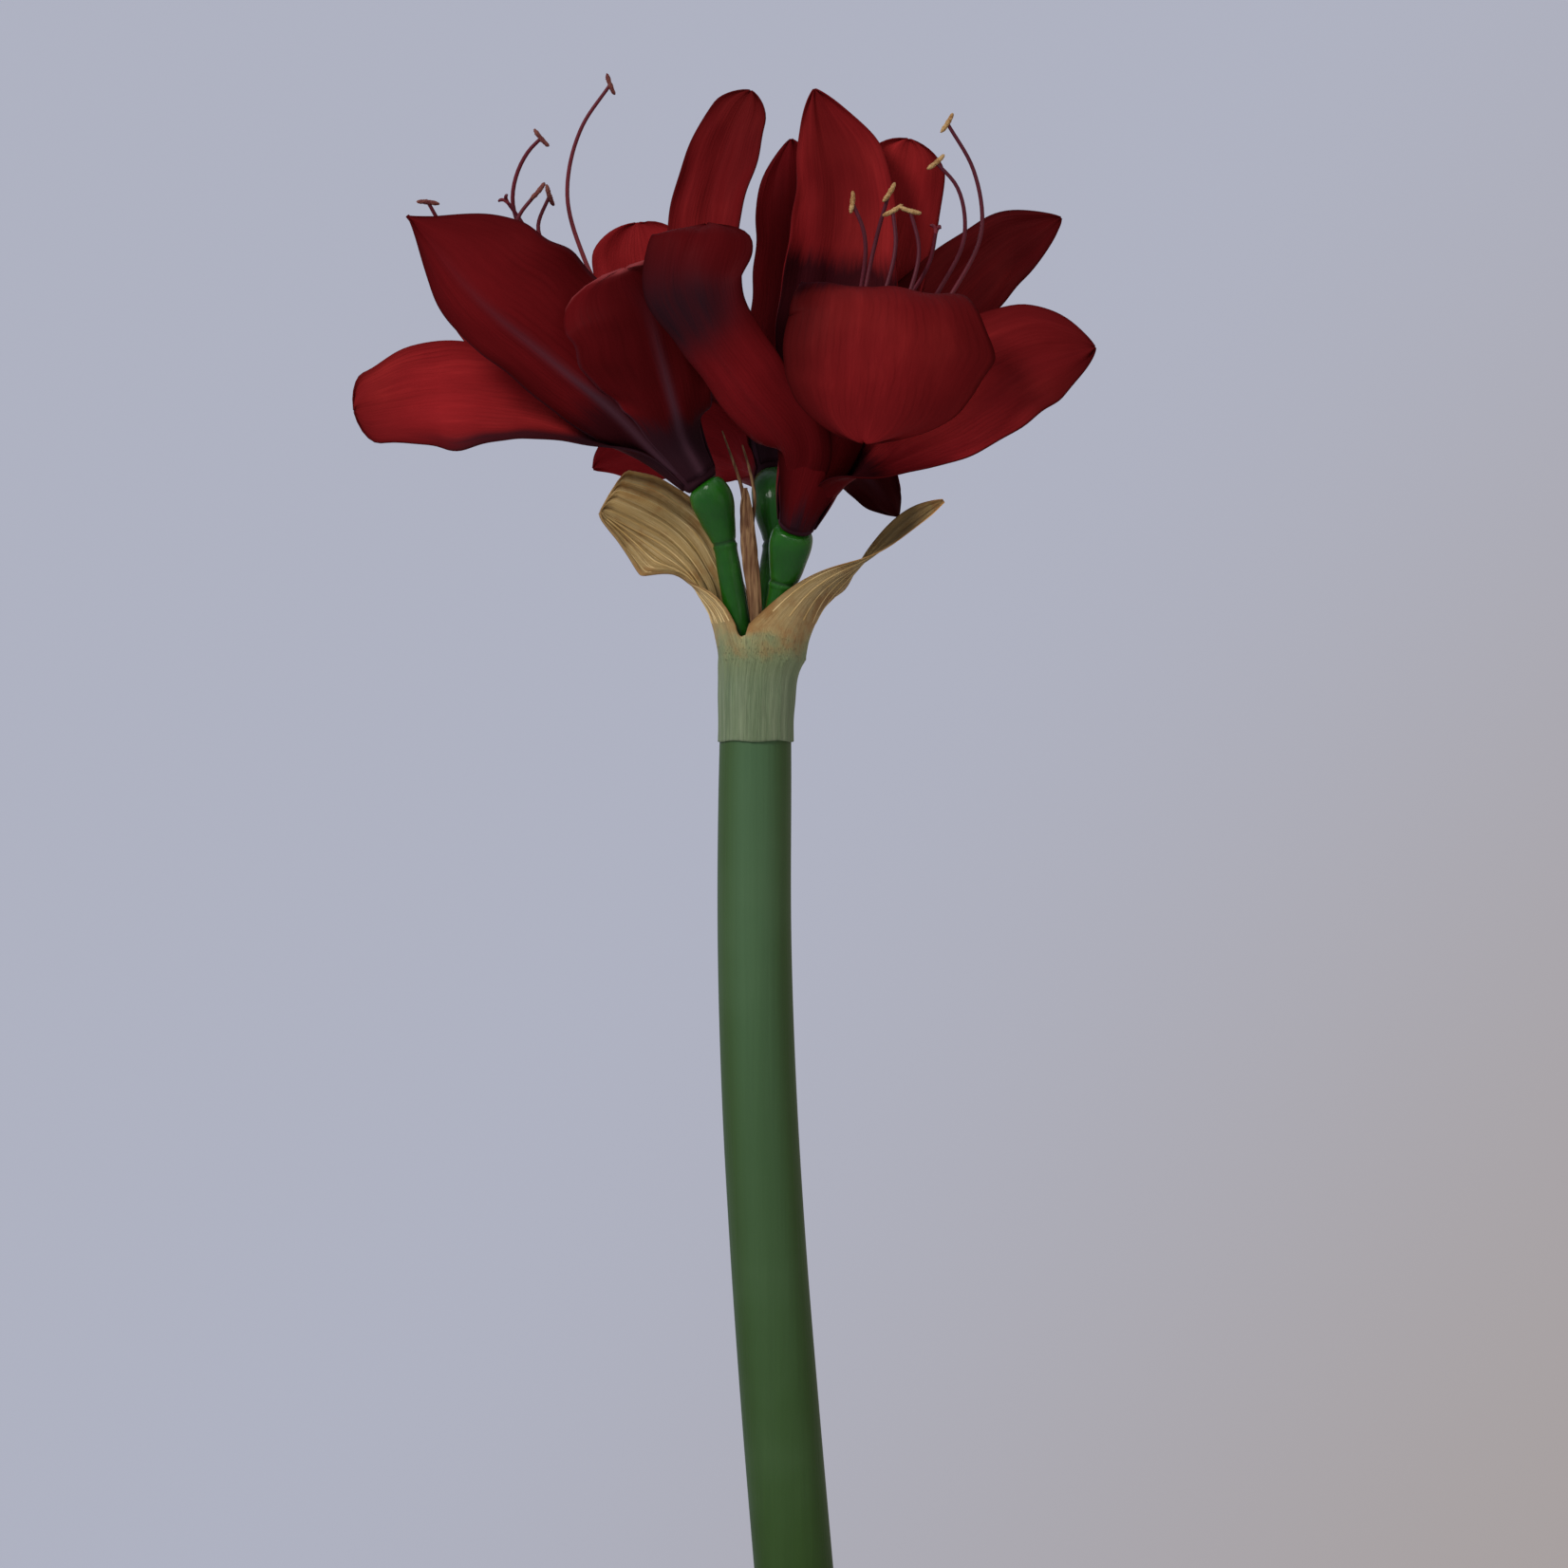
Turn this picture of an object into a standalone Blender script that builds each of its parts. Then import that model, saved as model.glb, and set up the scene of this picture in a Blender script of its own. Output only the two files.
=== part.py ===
"""An amaryllis: three blooms on one thick stem, standing in a plain bottle vase of water.

Lengths are in millimetres and turned into metres by MM. The frame has +Z up, with its origin at the
centre of the vase's underside. Points of the flower head are measured from HEAD, at the stem's top:
x to the right, y away from the viewer, z up.
"""

import math

import bmesh
import bpy
import numpy as np
from mathutils import Matrix, Vector

MM = 0.001
GAP = 0.3
HEAD = np.array((-22.4, 0.0, 589.4))

# Vase: a turned bottle. Each pair is a height and the outside radius there.
VASE_WALL = 4.0
VASE_FLOOR = 7.0
VASE_FOOT_BEVEL = 1.5
VASE_LIP = 3.0
VASE_NECK_HEIGHT = 238.0
VASE_HEIGHT = 250.0
VASE_SHOULDER = ((0.0, 43.0), (30.0, 53.0), (76.0, 59.0), (122.0, 53.0), (168.0, 38.0), (205.0, 27.5))
VASE_STEPS = 30
VASE_RINGS = 11
WATER_LEVEL = 150.0

# Stem: bows under the head, then leans to the right until it stands on the vase's floor
STEM_SIDES = 6
STEM_RINGS = 18
STEM_LINE = ((36.0, 0.0, -580.7), (24.6, 0.0, -458.0), (13.9, 0.0, -339.0), (8.1, 0.0, -271.0),
             (4.1, 0.0, -218.0), (1.0, 0.0, -165.0), (-0.7, 0.0, -112.0), (-0.5, 0.0, -46.0),
             (0.0, 0.0, -9.0))
STEM_RADII = (14.0, 13.8, 13.6, 13.4, 13.1, 12.9, 12.7, 12.4, 11.7)

# Pedicels: the three flower stalks, each with its ovary, which ends square under its bloom. Points
# and radii are from the foot upwards, and the last two radii are for the ovary's shoulder and top.
PEDICEL_SIDES = 4
PEDICEL_RINGS = 12
PEDICELS = {
    "left": (((-5.0, -3.0, -12.0), (-7.2, -4.0, 6.0), (-9.6, -4.8, 20.0), (-11.2, -5.2, 29.0),
              (-13.2, -5.4, 36.5)),
             (4.6, 4.3, 4.2, 4.2, 6.2, 7.5, 6.4)),
    "right": (((5.5, -4.0, -12.0), (6.6, -5.2, 2.0), (8.6, -6.0, 11.0), (9.4, -7.0, 15.5),
               (10.6, -8.6, 21.0)),
              (4.6, 4.6, 4.7, 5.0, 6.3, 7.6, 7.0)),
    "back": (((1.5, 5.0, -12.0), (3.6, 5.6, 8.0), (5.4, 6.2, 22.0), (6.4, 6.8, 29.0),
              (6.8, 7.8, 37.0)),
             (4.6, 4.3, 4.2, 4.3, 6.9, 7.6, 6.4)),
}
SHOULDER_DEPTH = {"left": 4.6, "right": 4.0, "back": 6.5}

# Sheath: a papery sleeve round the stem's top that splits into two valves. Each ring of the sleeve
# is a height, its centre's x and its radius. Angles are seen from above, from +x towards +y.
PAPER = 0.8
SLEEVE = ((-40.0, -0.3, 13.4), (-28.0, -0.1, 13.3), (-16.0, 0.7, 13.9), (-10.5, 1.8, 15.2),
          (-6.0, 1.9, 15.8))
SEAM_FRONT = -113.0
SEAM_BACK = 80.0
LEFT_VALVE_COLUMNS = 13
RIGHT_VALVE_COLUMNS = 11
VALVE_STEP = 8.0
PLEATS = 4
PLEAT_DEPTH = 0.9
BRACT_STEP = 9.0
BRACT_TIP = 8.0
BRACT_COLUMNS = 4

# Tepals
TEPAL_THICKNESS = 1.1
TEPAL_STEP = 14.0
TEPAL_COLUMNS = 7
OUTER_ROOT = 6.7
INNER_ROOT = 5.3
THROAT_HEIGHT = 14.0
THROAT_FLARE = 3.8
KEEL = 0.9
KEEL_WIDTH = 4.0
TIP_HALF_WIDTH = 0.8
TIP_ROWS = 2
TIP_TURN = 76.0
CUP_RADIUS = 7.7
CUP_FOOT_RADIUS = 6.8
CUP_HEIGHT = 7.0

# Stamens: six filaments on a collar in the throat, and the style that passes through it
FILAMENT_RADIUS = 0.8
STYLE_RADIUS = 1.0
COLLAR_RADIUS = 3.9
COLLAR_BORE = 1.6
COLLAR_HEIGHT = 2.4
ANTHER_LENGTH = 7.0
ANTHER_RADIUS = 1.3
STIGMA_LOBE = 2.4


def at(point, faces, left, right, cup):
    """One station of a blade: its midrib point, where its inner face looks, its two half widths as
    seen on that face with the tip up, and how far the margins turn in, in degrees."""
    return (*point, *faces, left, right, math.radians(cup))


# Sheath valves, from the sleeve's rim to the tip
LEFT_VALVE = (
    at((-16.0, 3.0, 4.0), (0.95, -0.20, 0.25), 15, 20, 75),
    at((-21.0, 6.0, 16.0), (0.60, -0.70, 0.40), 7, 17, 42),
    at((-31.0, 9.0, 27.0), (0.25, -0.85, 0.40), 17, 20, 20),
    at((-43.0, 9.0, 34.0), (0.10, -0.90, 0.35), 9, 21, 12),
    at((-54.5, 7.0, 40.0), (0.05, -0.95, 0.30), 2, 17, 10),
)
RIGHT_VALVE = (
    at((19.0, -4.0, 2.0), (-0.90, 0.30, 0.20), 17, 21, 80),
    at((27.0, -9.5, 14.5), (-0.30, 0.80, 0.50), 9, 9, 20),
    at((36.0, -8.0, 20.5), (-0.45, 0.10, 0.85), 4, 4, 45),
    at((44.5, -5.0, 28.5), (-0.35, -0.80, 0.50), 4, 4, 35),
    at((54.0, -3.0, 37.5), (-0.35, -0.85, 0.45), 5, 4, 25),
    at((65.0, -1.0, 43.5), (-0.35, -0.85, 0.45), 3, 3, 10),
)
INNER_BRACT = (
    at((0.6, -8.4, -8.6), (0.0, 1.0, 0.0), 1.4, 1.4, 25),
    at((-0.6, -9.0, 9.0), (0.0, 1.0, 0.0), 2.4, 2.4, 25),
    at((-2.6, -8.6, 26.0), (0.1, 1.0, 0.1), 2.8, 2.8, 20),
    at((-3.6, -6.5, 40.0), (0.1, 1.0, 0.1), 2.2, 2.2, 20),
    at((-4.0, -6.0, 48.0), (0.1, 1.0, 0.1), 1.6, 1.6, 10),
)

# Blooms. Tepals are in order round the axis, and "turn" is where the first one roots: 0 is the side
# nearest the viewer, 90 the right-hand side. Each tepal is (length of its tip, how pointed the tip is,
# ruffle height, ruffle waves, stations past the throat).
BLOOMS = {
    "left": {
        "base": (-18.8, -6.1, 49.3), "axis": (-0.57, 0.08, 0.82), "turn": 15,
        "tepals": (
            (5, 0.0, 1.2, 2.0, (  # front
                at((-28, -25, 74), (0.10, 0.95, 0.20), 14, 20, 40),
                at((-34, -32, 96), (0.00, 0.95, 0.20), 17, 29, 28),
                at((-38, -34, 111), (0.00, 0.90, 0.35), 17, 31, 20),
                at((-45, -38, 123), (0.00, 0.45, 0.90), 16, 28, 12))),
            (9, 0.2, 1.0, 1.5, (  # upright, on the right
                at((-22, 4, 92), (-0.30, -0.90, 0.20), 12, 12, 35),
                at((-19, 8, 122), (-0.30, -0.95, 0.15), 14, 14, 30),
                at((-16, 10, 148), (-0.25, -0.95, 0.05), 13, 13, 25),
                at((-9, 12, 171), (-0.20, -0.95, 0.05), 12, 12, 22),
                at((-2, 14, 187), (-0.20, -0.95, 0.05), 7, 8, 18))),
            (11, 0.0, 1.4, 2.0, (  # far right
                at((-30, 18, 88), (-0.20, -0.95, 0.20), 15, 15, 40),
                at((-39, 30, 114), (-0.10, -0.95, 0.25), 18, 18, 30),
                at((-42, 36, 142), (-0.05, -0.90, 0.35), 15, 16, 20))),
            (24, 0.3, 1.6, 2.0, (  # far left
                at((-48, 20, 80), (0.30, -0.85, 0.40), 16, 16, 40),
                at((-76, 36, 100), (0.20, -0.85, 0.50), 21, 21, 30),
                at((-108, 44, 118), (0.10, -0.80, 0.60), 18, 18, 20))),
            (6, 0.0, 1.4, 2.5, (  # lower left
                at((-58, -1, 70), (0.35, -0.75, 0.55), 13, 15, 30),
                at((-82, 3, 78), (0.20, -0.85, 0.50), 20, 22, 18),
                at((-108, 4, 80), (0.10, -0.88, 0.45), 21, 21, 10),
                at((-140, 0, 75), (-0.10, -0.90, 0.35), 14, 12, 15))),
            (30, 1.5, 1.8, 2.5, (  # upper left
                at((-48, -16, 73), (0.20, 0.90, 0.10), 22, 14, 42),
                at((-70, -18, 91), (0.10, 0.95, 0.00), 33, 14, 34),
                at((-94, -20, 111), (0.10, 0.95, 0.00), 33, 14, 30),
                at((-121, -16, 142), (0.10, 0.95, 0.00), 24, 6, 20))),
        ),
    },
    "right": {
        "base": (13.4, -13.4, 33.6), "axis": (0.24, -0.38, 0.85), "turn": 0,
        "tepals": (
            (11, 0.0, 1.2, 2.0, (  # front, folded over towards the viewer
                at((24, -36, 68), (-0.10, 0.95, 0.35), 18, 18, 45),
                at((34, -43, 94), (-0.05, 0.90, 0.40), 22, 22, 24),
                at((41, -53, 116), (0.00, 0.25, 1.00), 29, 27, -14),
                at((42, -64, 110), (0.05, -0.75, 0.65), 37, 32, -24),
                at((41, -69, 96), (0.05, -0.98, 0.20), 42, 33, -32),
                at((40, -69, 81), (0.05, -0.98, -0.15), 39, 31, -34),
                at((37, -59, 62), (0.05, -0.85, -0.50), 28, 22, -28))),
            (20, 0.5, 1.4, 2.0, (  # right
                at((46, -30, 61), (-0.15, -0.80, 0.60), 14, 15, 25),
                at((70, -32, 76), (-0.10, -0.85, 0.50), 26, 23, 15),
                at((96, -30, 92), (-0.10, -0.88, 0.45), 23, 19, 12),
                at((117, -24, 96), (0.10, -0.90, 0.35), 16, 12, 10))),
            (24, 0.5, 1.4, 2.0, (  # upper right
                at((40, -8, 82), (-0.35, -0.80, 0.45), 15, 15, 40),
                at((62, 0, 106), (-0.30, -0.85, 0.45), 19, 19, 28),
                at((84, 4, 128), (-0.25, -0.85, 0.45), 17, 15, 20),
                at((106, 2, 142), (-0.20, -0.85, 0.45), 12, 12, 10))),
            (10, 0.0, 1.4, 2.0, (  # back
                at((32, 4, 90), (-0.10, -0.95, 0.20), 15, 15, 45),
                at((42, 12, 124), (-0.05, -0.98, 0.15), 18, 18, 30),
                at((49, 13, 150), (0.00, -0.98, 0.15), 16, 16, 20),
                at((53, 10, 170), (0.00, -0.90, 0.40), 13, 13, 15))),
            (26, 0.6, 1.2, 2.0, (  # upper left
                at((18, -8, 84), (0.30, -0.90, 0.25), 15, 15, 45),
                at((24, -1, 116), (0.10, -0.98, 0.15), 17, 24, 30),
                at((28, 2, 146), (0.00, -0.98, 0.10), 15, 21, 22),
                at((20, 2, 187), (0.00, -0.98, 0.10), 9, 12, 15))),
            (7, 0.0, 1.2, 2.0, (  # left
                at((13, -34, 58), (0.40, 0.85, 0.30), 13, 13, 44),
                at((-3, -45, 83), (0.35, 0.90, 0.20), 15, 16, 34),
                at((-16, -51, 101), (0.30, 0.95, 0.15), 15, 15, 30),
                at((-22, -51, 119), (0.20, 0.97, 0.05), 18, 19, 26),
                at((-19, -47, 134), (0.10, 0.90, -0.40), 18, 17, 18),
                at((-17, -39, 138), (0.10, 0.10, -1.00), 15, 15, 10))),
        ),
    },
    "back": {
        "base": (6.2, 17.6, 51.2), "axis": (0.05, 0.80, 0.50), "turn": 0,
        "tepals": (
            (24, 0.4, 1.4, 2.0, (  # upright
                at((10, 34, 86), (0.00, 0.95, 0.10), 17, 17, 45),
                at((14, 42, 116), (0.00, 1.00, 0.00), 16, 16, 30),
                at((14, 44, 146), (0.00, 1.00, 0.00), 15, 15, 25),
                at((12, 46, 172), (0.00, 0.95, 0.20), 11, 11, 20))),
            (26, 0.5, 1.6, 2.0, (  # upper right
                at((30, 42, 76), (-0.40, 0.90, 0.10), 19, 19, 42),
                at((48, 62, 96), (-0.40, 0.90, -0.10), 23, 23, 28),
                at((68, 82, 110), (-0.30, 0.90, -0.30), 16, 16, 15))),
            (22, 0.5, 1.6, 2.0, (  # lower right
                at((24, 38, 60), (-0.40, 0.80, 0.40), 13, 13, 42),
                at((36, 58, 56), (-0.30, 0.90, 0.60), 11, 11, 28),
                at((50, 80, 40), (-0.10, 0.80, 0.70), 7, 7, 15))),
            (24, 0.4, 1.6, 2.0, (  # bottom
                at((8, 46, 50), (0.00, 0.20, 1.00), 17, 17, 42),
                at((8, 74, 50), (0.00, 0.10, 1.00), 22, 22, 28),
                at((6, 104, 56), (0.00, 0.00, 1.00), 18, 18, 15))),
            (22, 0.5, 1.6, 2.0, (  # lower left
                at((-12, 40, 62), (0.50, 0.80, 0.30), 14, 14, 42),
                at((-32, 58, 66), (0.40, 0.80, 0.50), 16, 16, 28),
                at((-58, 72, 57), (0.30, 0.80, 0.60), 11, 11, 15))),
            (26, 0.5, 1.6, 2.0, (  # upper left
                at((-8, 44, 80), (0.40, 0.90, 0.10), 18, 18, 42),
                at((-22, 66, 100), (0.40, 0.90, -0.10), 22, 22, 28),
                at((-36, 88, 112), (0.30, 0.90, -0.30), 16, 16, 15))),
        ),
    },
}

# Stamens: for each bloom, the filaments' bends past the throat and each anther's direction, in order
# round the axis from between the first two tepals, then the style's bends
STAMENS = {
    "left": (
        (((-48, -4, 98), (-68, 0, 124), (-76, 2, 139), (-72, 3, 150)), (0.3, 0.1, -0.9)),
        (((-46, 6, 102), (-60, 9, 128), (-66, 10, 150), (-61, 10, 174), (-51, 10, 189)), (0.3, 0.1, -0.8)),
        (((-58, 10, 110), (-80, 10, 134), (-85, 8, 148), (-79, 6, 166), (-75, 5, 170)), (0.6, 0.1, -0.7)),
        (((-62, 14, 104), (-80, 16, 120), (-94, 16, 128)), (-0.6, 0.1, 0.6)),
        (((-68, 6, 106), (-90, 0, 132), (-109, -4, 139), (-114, -6, 147)), (-1.0, -0.1, 0.1)),
        (((-56, -3, 96), (-74, -1, 124), (-83, -3, 141), (-76, -3, 151)), (0.5, 0.1, 0.6)),
        (((-57, 3, 102), (-74, 4, 126), (-82, 3, 141), (-87, 2, 148)), None),
    ),
    "right": (
        (((40, -33, 84), (52, -34, 112), (56, -32, 130), (53, -30, 143)), (0.7, 0.1, -0.2)),
        (((46, -30, 82), (66, -24, 112), (78, -18, 138), (75, -16, 158), (66, -16, 174)), (0.5, 0.1, 0.8)),
        (((42, -23, 86), (62, -22, 114), (72, -24, 136), (69, -24, 152), (62, -24, 160)), (0.7, 0.1, 0.6)),
        (((34, -20, 90), (38, -14, 118), (43, -14, 140), (46, -16, 150)), (0.5, 0.1, 0.8)),
        (((26, -26, 88), (36, -26, 116), (37, -28, 136), (33, -28, 146)), (0.1, 0.1, 1.0)),
        (((32, -35, 88), (44, -34, 114), (48, -32, 132), (47, -30, 143)), (0.7, 0.1, 0.4)),
        (((37, -29, 86), (52, -28, 112), (60, -30, 126), (62, -32, 136)), None),
    ),
    "back": (
        (((15, 50, 80), (19, 76, 92), (20, 98, 106)), (0.2, 0.4, 0.9)),
        (((21, 52, 74), (28, 78, 82), (32, 104, 94)), (0.2, 0.4, 0.9)),
        (((15, 56, 68), (18, 82, 72), (20, 110, 84)), (0.2, 0.4, 0.9)),
        (((3, 56, 67), (0, 82, 72), (-2, 108, 84)), (0.2, 0.4, 0.9)),
        (((-3, 52, 72), (-10, 76, 80), (-14, 100, 92)), (0.2, 0.4, 0.9)),
        (((3, 50, 79), (-2, 74, 90), (-4, 96, 102)), (0.2, 0.4, 0.9)),
        (((9, 54, 74), (9, 86, 80), (8, 118, 94)), None),
    ),
}

RED = (0.13, 0.006, 0.008)
DARK_RED = (0.10, 0.008, 0.012)
POLLEN = (0.20, 0.06, 0.02)
GREEN = (0.06, 0.12, 0.04)
TAN = (0.25, 0.17, 0.07)
STONE = (0.55, 0.52, 0.47)
WATER = (0.70, 0.78, 0.80)


def unit(vector):
    vector = np.asarray(vector, dtype=float)
    return vector / np.linalg.norm(vector)


def distances(stations):
    """How far along the line each station lies. Its first three values are its point."""
    points = np.array(stations, dtype=float)[:, :3]
    steps = np.linalg.norm(np.diff(points, axis=0), axis=1)
    return np.concatenate(([0.0], np.cumsum(steps)))


def through(stations, places):
    """Reads a smooth curve through the stations at places along it."""
    rows = np.array(stations, dtype=float)
    knots = distances(stations)
    slopes = np.gradient(rows, knots, axis=0)
    first = np.clip(np.searchsorted(knots, places, side="right") - 1, 0, len(knots) - 2)
    span = (knots[first + 1] - knots[first])[:, None]
    u = (places[:, None] - knots[first][:, None]) / span
    a, b = rows[first], rows[first + 1]
    da, db = slopes[first] * span, slopes[first + 1] * span
    cubic = (2 * u**3 - 3 * u**2 + 1) * a + (u**3 - 2 * u**2 + u) * da
    return cubic + (3 * u**2 - 2 * u**3) * b + (u**3 - u**2) * db


def evenly(stations, count):
    return through(stations, np.linspace(0.0, distances(stations)[-1], count))


def blade_places(length, step, tip):
    """Where a blade's rows lie: evenly along its body, then closer round its tip."""
    body = np.linspace(0.0, length - tip, round((length - tip) / step) + 1)
    turns = np.radians(np.linspace(0.0, TIP_TURN, TIP_ROWS + 1))[1:]
    return np.concatenate((body, length - tip + tip * np.sin(turns)))


def blade_rows(stations, step, columns, tip, point, keel=0.0, ruffle=0.0, waves=0.0, pleats=0):
    """The surface of a leaf-like blade, as rows of points from root to tip."""
    length = distances(stations)[-1]
    places = blade_places(length, step, tip)
    values = through(stations, places)
    middle = values[:, :3]
    along = np.gradient(middle, places, axis=0)
    sheet = []
    for i in range(len(places)):
        tangent = unit(along[i])
        faces = values[i, 3:6] - tangent * np.dot(values[i, 3:6], tangent)
        faces = unit(faces)
        side = np.cross(tangent, faces)
        left, right, cup = values[i, 6:9]
        into_tip = max(0.0, (places[i] - length + tip) / tip)
        narrowing = (1.0 - into_tip**2) ** (0.5 + 0.5 * point)
        share = places[i] / length
        row = []
        for s in np.linspace(-1.0, 1.0, columns):
            half = max(TIP_HALF_WIDTH, (right if s > 0 else left) * narrowing)
            turn = cup if abs(cup) > 0.01 else 0.01
            across = half * math.sin(turn * s) / turn
            rise = half * (1.0 - math.cos(turn * s)) / turn
            rise -= keel * math.exp(-((across / KEEL_WIDTH) ** 2)) * math.sin(math.pi * share)
            wave = math.sin(2 * math.pi * waves * share + (1.3 if s > 0 else 0.0))
            rise += ruffle * wave * abs(s) ** 3 * min(1.0, 3 * share * narrowing)
            rise += PLEAT_DEPTH * math.sin(2 * math.pi * pleats * s) * min(1.0, 2 * share)
            row.append(middle[i] + side * across + faces * rise)
        sheet.append(row)
    return sheet


def material(name, colour, roughness, metallic=0.0):
    made = bpy.data.materials.new(name)
    made.use_nodes = True
    shader = made.node_tree.nodes["Principled BSDF"]
    shader.inputs["Base Color"].default_value = (*colour, 1.0)
    shader.inputs["Roughness"].default_value = roughness
    shader.inputs["Metallic"].default_value = metallic
    return made


def add_object(name, mesh, collection, finish=None):
    made = bpy.data.objects.new(name, mesh)
    collection.objects.link(made)
    if finish:
        mesh.materials.clear()
        mesh.materials.append(finish)
    return made


def world(point):
    """A point of the head, in millimetres, in metres from the vase's foot."""
    return tuple((HEAD + np.asarray(point, dtype=float)) * MM)


def sheet_mesh(name, rows):
    """An open sheet of triangles over a grid of points."""
    grid = bmesh.new()
    points = [[grid.verts.new(world(p)) for p in row] for row in rows]
    for below, above in zip(points, points[1:]):
        for j in range(len(below) - 1):
            grid.faces.new((below[j], below[j + 1], above[j + 1], above[j]))
    bmesh.ops.triangulate(grid, faces=grid.faces[:])
    mesh = bpy.data.meshes.new(name)
    grid.to_mesh(mesh)
    grid.free()
    return mesh


def thicken(thing, thickness):
    wall = thing.modifiers.new("wall", "SOLIDIFY")
    wall.thickness = thickness * MM
    wall.offset = 0.0
    wall.use_quality_normals = True


def settle(thing):
    """Replaces an object's mesh by what its modifiers make of it."""
    depsgraph = bpy.context.evaluated_depsgraph_get()
    mesh = bpy.data.meshes.new_from_object(thing.evaluated_get(depsgraph))
    mesh.name = thing.name
    thing.modifiers.clear()
    old = thing.data
    thing.data = mesh
    bpy.data.meshes.remove(old)


def rod(name, line, radii, rings, sides, collection):
    """A closed round bar along a smooth line. `sides` is the bevel resolution of its section."""
    stations = [(*point, radius) for point, radius in zip(line, radii)]
    values = evenly(stations, rings)
    curve = bpy.data.curves.new(name, "CURVE")
    curve.dimensions = "3D"
    curve.bevel_depth = MM
    curve.bevel_resolution = sides
    curve.use_fill_caps = True
    spline = curve.splines.new("POLY")
    spline.points.add(rings - 1)
    for point, value in zip(spline.points, values):
        point.co = (*world(value[:3]), 1.0)
        point.radius = value[3]
    guide = bpy.data.objects.new(name + "_line", curve)
    collection.objects.link(guide)
    depsgraph = bpy.context.evaluated_depsgraph_get()
    mesh = bpy.data.meshes.new_from_object(guide.evaluated_get(depsgraph))
    mesh.name = name
    bpy.data.objects.remove(guide)
    bpy.data.curves.remove(curve)
    weld = bmesh.new()
    weld.from_mesh(mesh)
    bmesh.ops.remove_doubles(weld, verts=weld.verts[:], dist=0.01 * MM)
    bmesh.ops.recalc_face_normals(weld, faces=weld.faces[:])
    bmesh.ops.triangulate(weld, faces=weld.faces[:])
    weld.to_mesh(mesh)
    weld.free()
    return add_object(name, mesh, collection)


def fuse(body, pieces, operation="UNION"):
    """Joins pieces to a body, or cuts them from it, in one Boolean, and removes the pieces."""
    others = bpy.data.collections.new(body.name + "_pieces")
    bpy.context.scene.collection.children.link(others)
    for piece in pieces:
        for holder in piece.users_collection:
            holder.objects.unlink(piece)
        others.objects.link(piece)
    join = body.modifiers.new("join", "BOOLEAN")
    join.operation = operation
    join.operand_type = "COLLECTION"
    join.collection = others
    join.solver = "EXACT"
    settle(body)
    for piece in list(others.objects):
        bpy.data.objects.remove(piece)
    bpy.data.collections.remove(others)


def turned(name, profile, collection, finish):
    """A solid of revolution about Z. The profile runs from the axis, up the inside, over the top and
    down the outside, back to the axis."""
    line = bmesh.new()
    points = [line.verts.new((r * MM, 0.0, z * MM)) for r, z in profile]
    for a, b in zip(points, points[1:]):
        line.edges.new((a, b))
    mesh = bpy.data.meshes.new(name)
    line.to_mesh(mesh)
    line.free()
    made = add_object(name, mesh, collection, finish)
    turn = made.modifiers.new("turn", "SCREW")
    turn.axis = "Z"
    turn.angle = 2 * math.pi
    turn.steps = VASE_STEPS
    turn.render_steps = VASE_STEPS
    turn.use_merge_vertices = True
    turn.merge_threshold = 0.01 * MM
    settle(made)
    return made


def smooth(thing, angle=40.0):
    thing.data.shade_smooth()
    thing.data.set_sharp_from_angle(angle=math.radians(angle))


def stem_at(height):
    """The stem's centre x and radius at a height above the vase's underside."""
    stations = [(*point, radius) for point, radius in zip(STEM_LINE, STEM_RADII)]
    values = evenly(stations, 200)
    z = values[:, 2] + HEAD[2]
    return np.interp(height, z, values[:, 0]) + HEAD[0], np.interp(height, z, values[:, 3])


def vase_profile():
    """Outside radius of the vase by height. The neck is just wide enough for the leaning stem."""
    centre, radius = stem_at(VASE_NECK_HEIGHT)
    neck = abs(centre) + radius + GAP + VASE_WALL
    knots = [(0.0, 0.0, z, r) for z, r in VASE_SHOULDER]
    knots.append((0.0, 0.0, VASE_NECK_HEIGHT, neck))
    knots.append((0.0, 0.0, VASE_HEIGHT, neck + VASE_LIP))
    values = evenly(knots, VASE_RINGS)
    return [(value[3], value[2]) for value in values]


def inside_of(profile, clearance=0.0):
    """The inner wall for a profile, from the floor up."""
    wall = VASE_WALL + clearance
    floor = VASE_FLOOR + clearance
    rising = [(r - wall, z) for r, z in profile if z > floor + VASE_WALL]
    first = rising[0][0]
    return [(first - VASE_WALL, floor)] + rising


def make_vase(collection):
    outside = vase_profile()
    inside = inside_of(outside)
    lip_outer, lip_z = outside[-1]
    lip_inner = inside.pop()[0]
    lip = [(lip_inner, lip_z - VASE_WALL / 3), (lip_inner + VASE_WALL / 3, lip_z),
           (lip_outer - VASE_WALL / 3, lip_z), (lip_outer, lip_z - VASE_WALL / 3)]
    foot = outside[0][0]
    falling = [(r, z) for r, z in reversed(outside[1:-1])]
    profile = [(0.0, VASE_FLOOR)] + inside + lip + falling
    profile += [(foot, VASE_FOOT_BEVEL), (foot - VASE_FOOT_BEVEL, 0.0), (0.0, 0.0)]
    vase = turned("vase", profile, collection, material("glaze", STONE, 0.35))
    smooth(vase)


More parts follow.
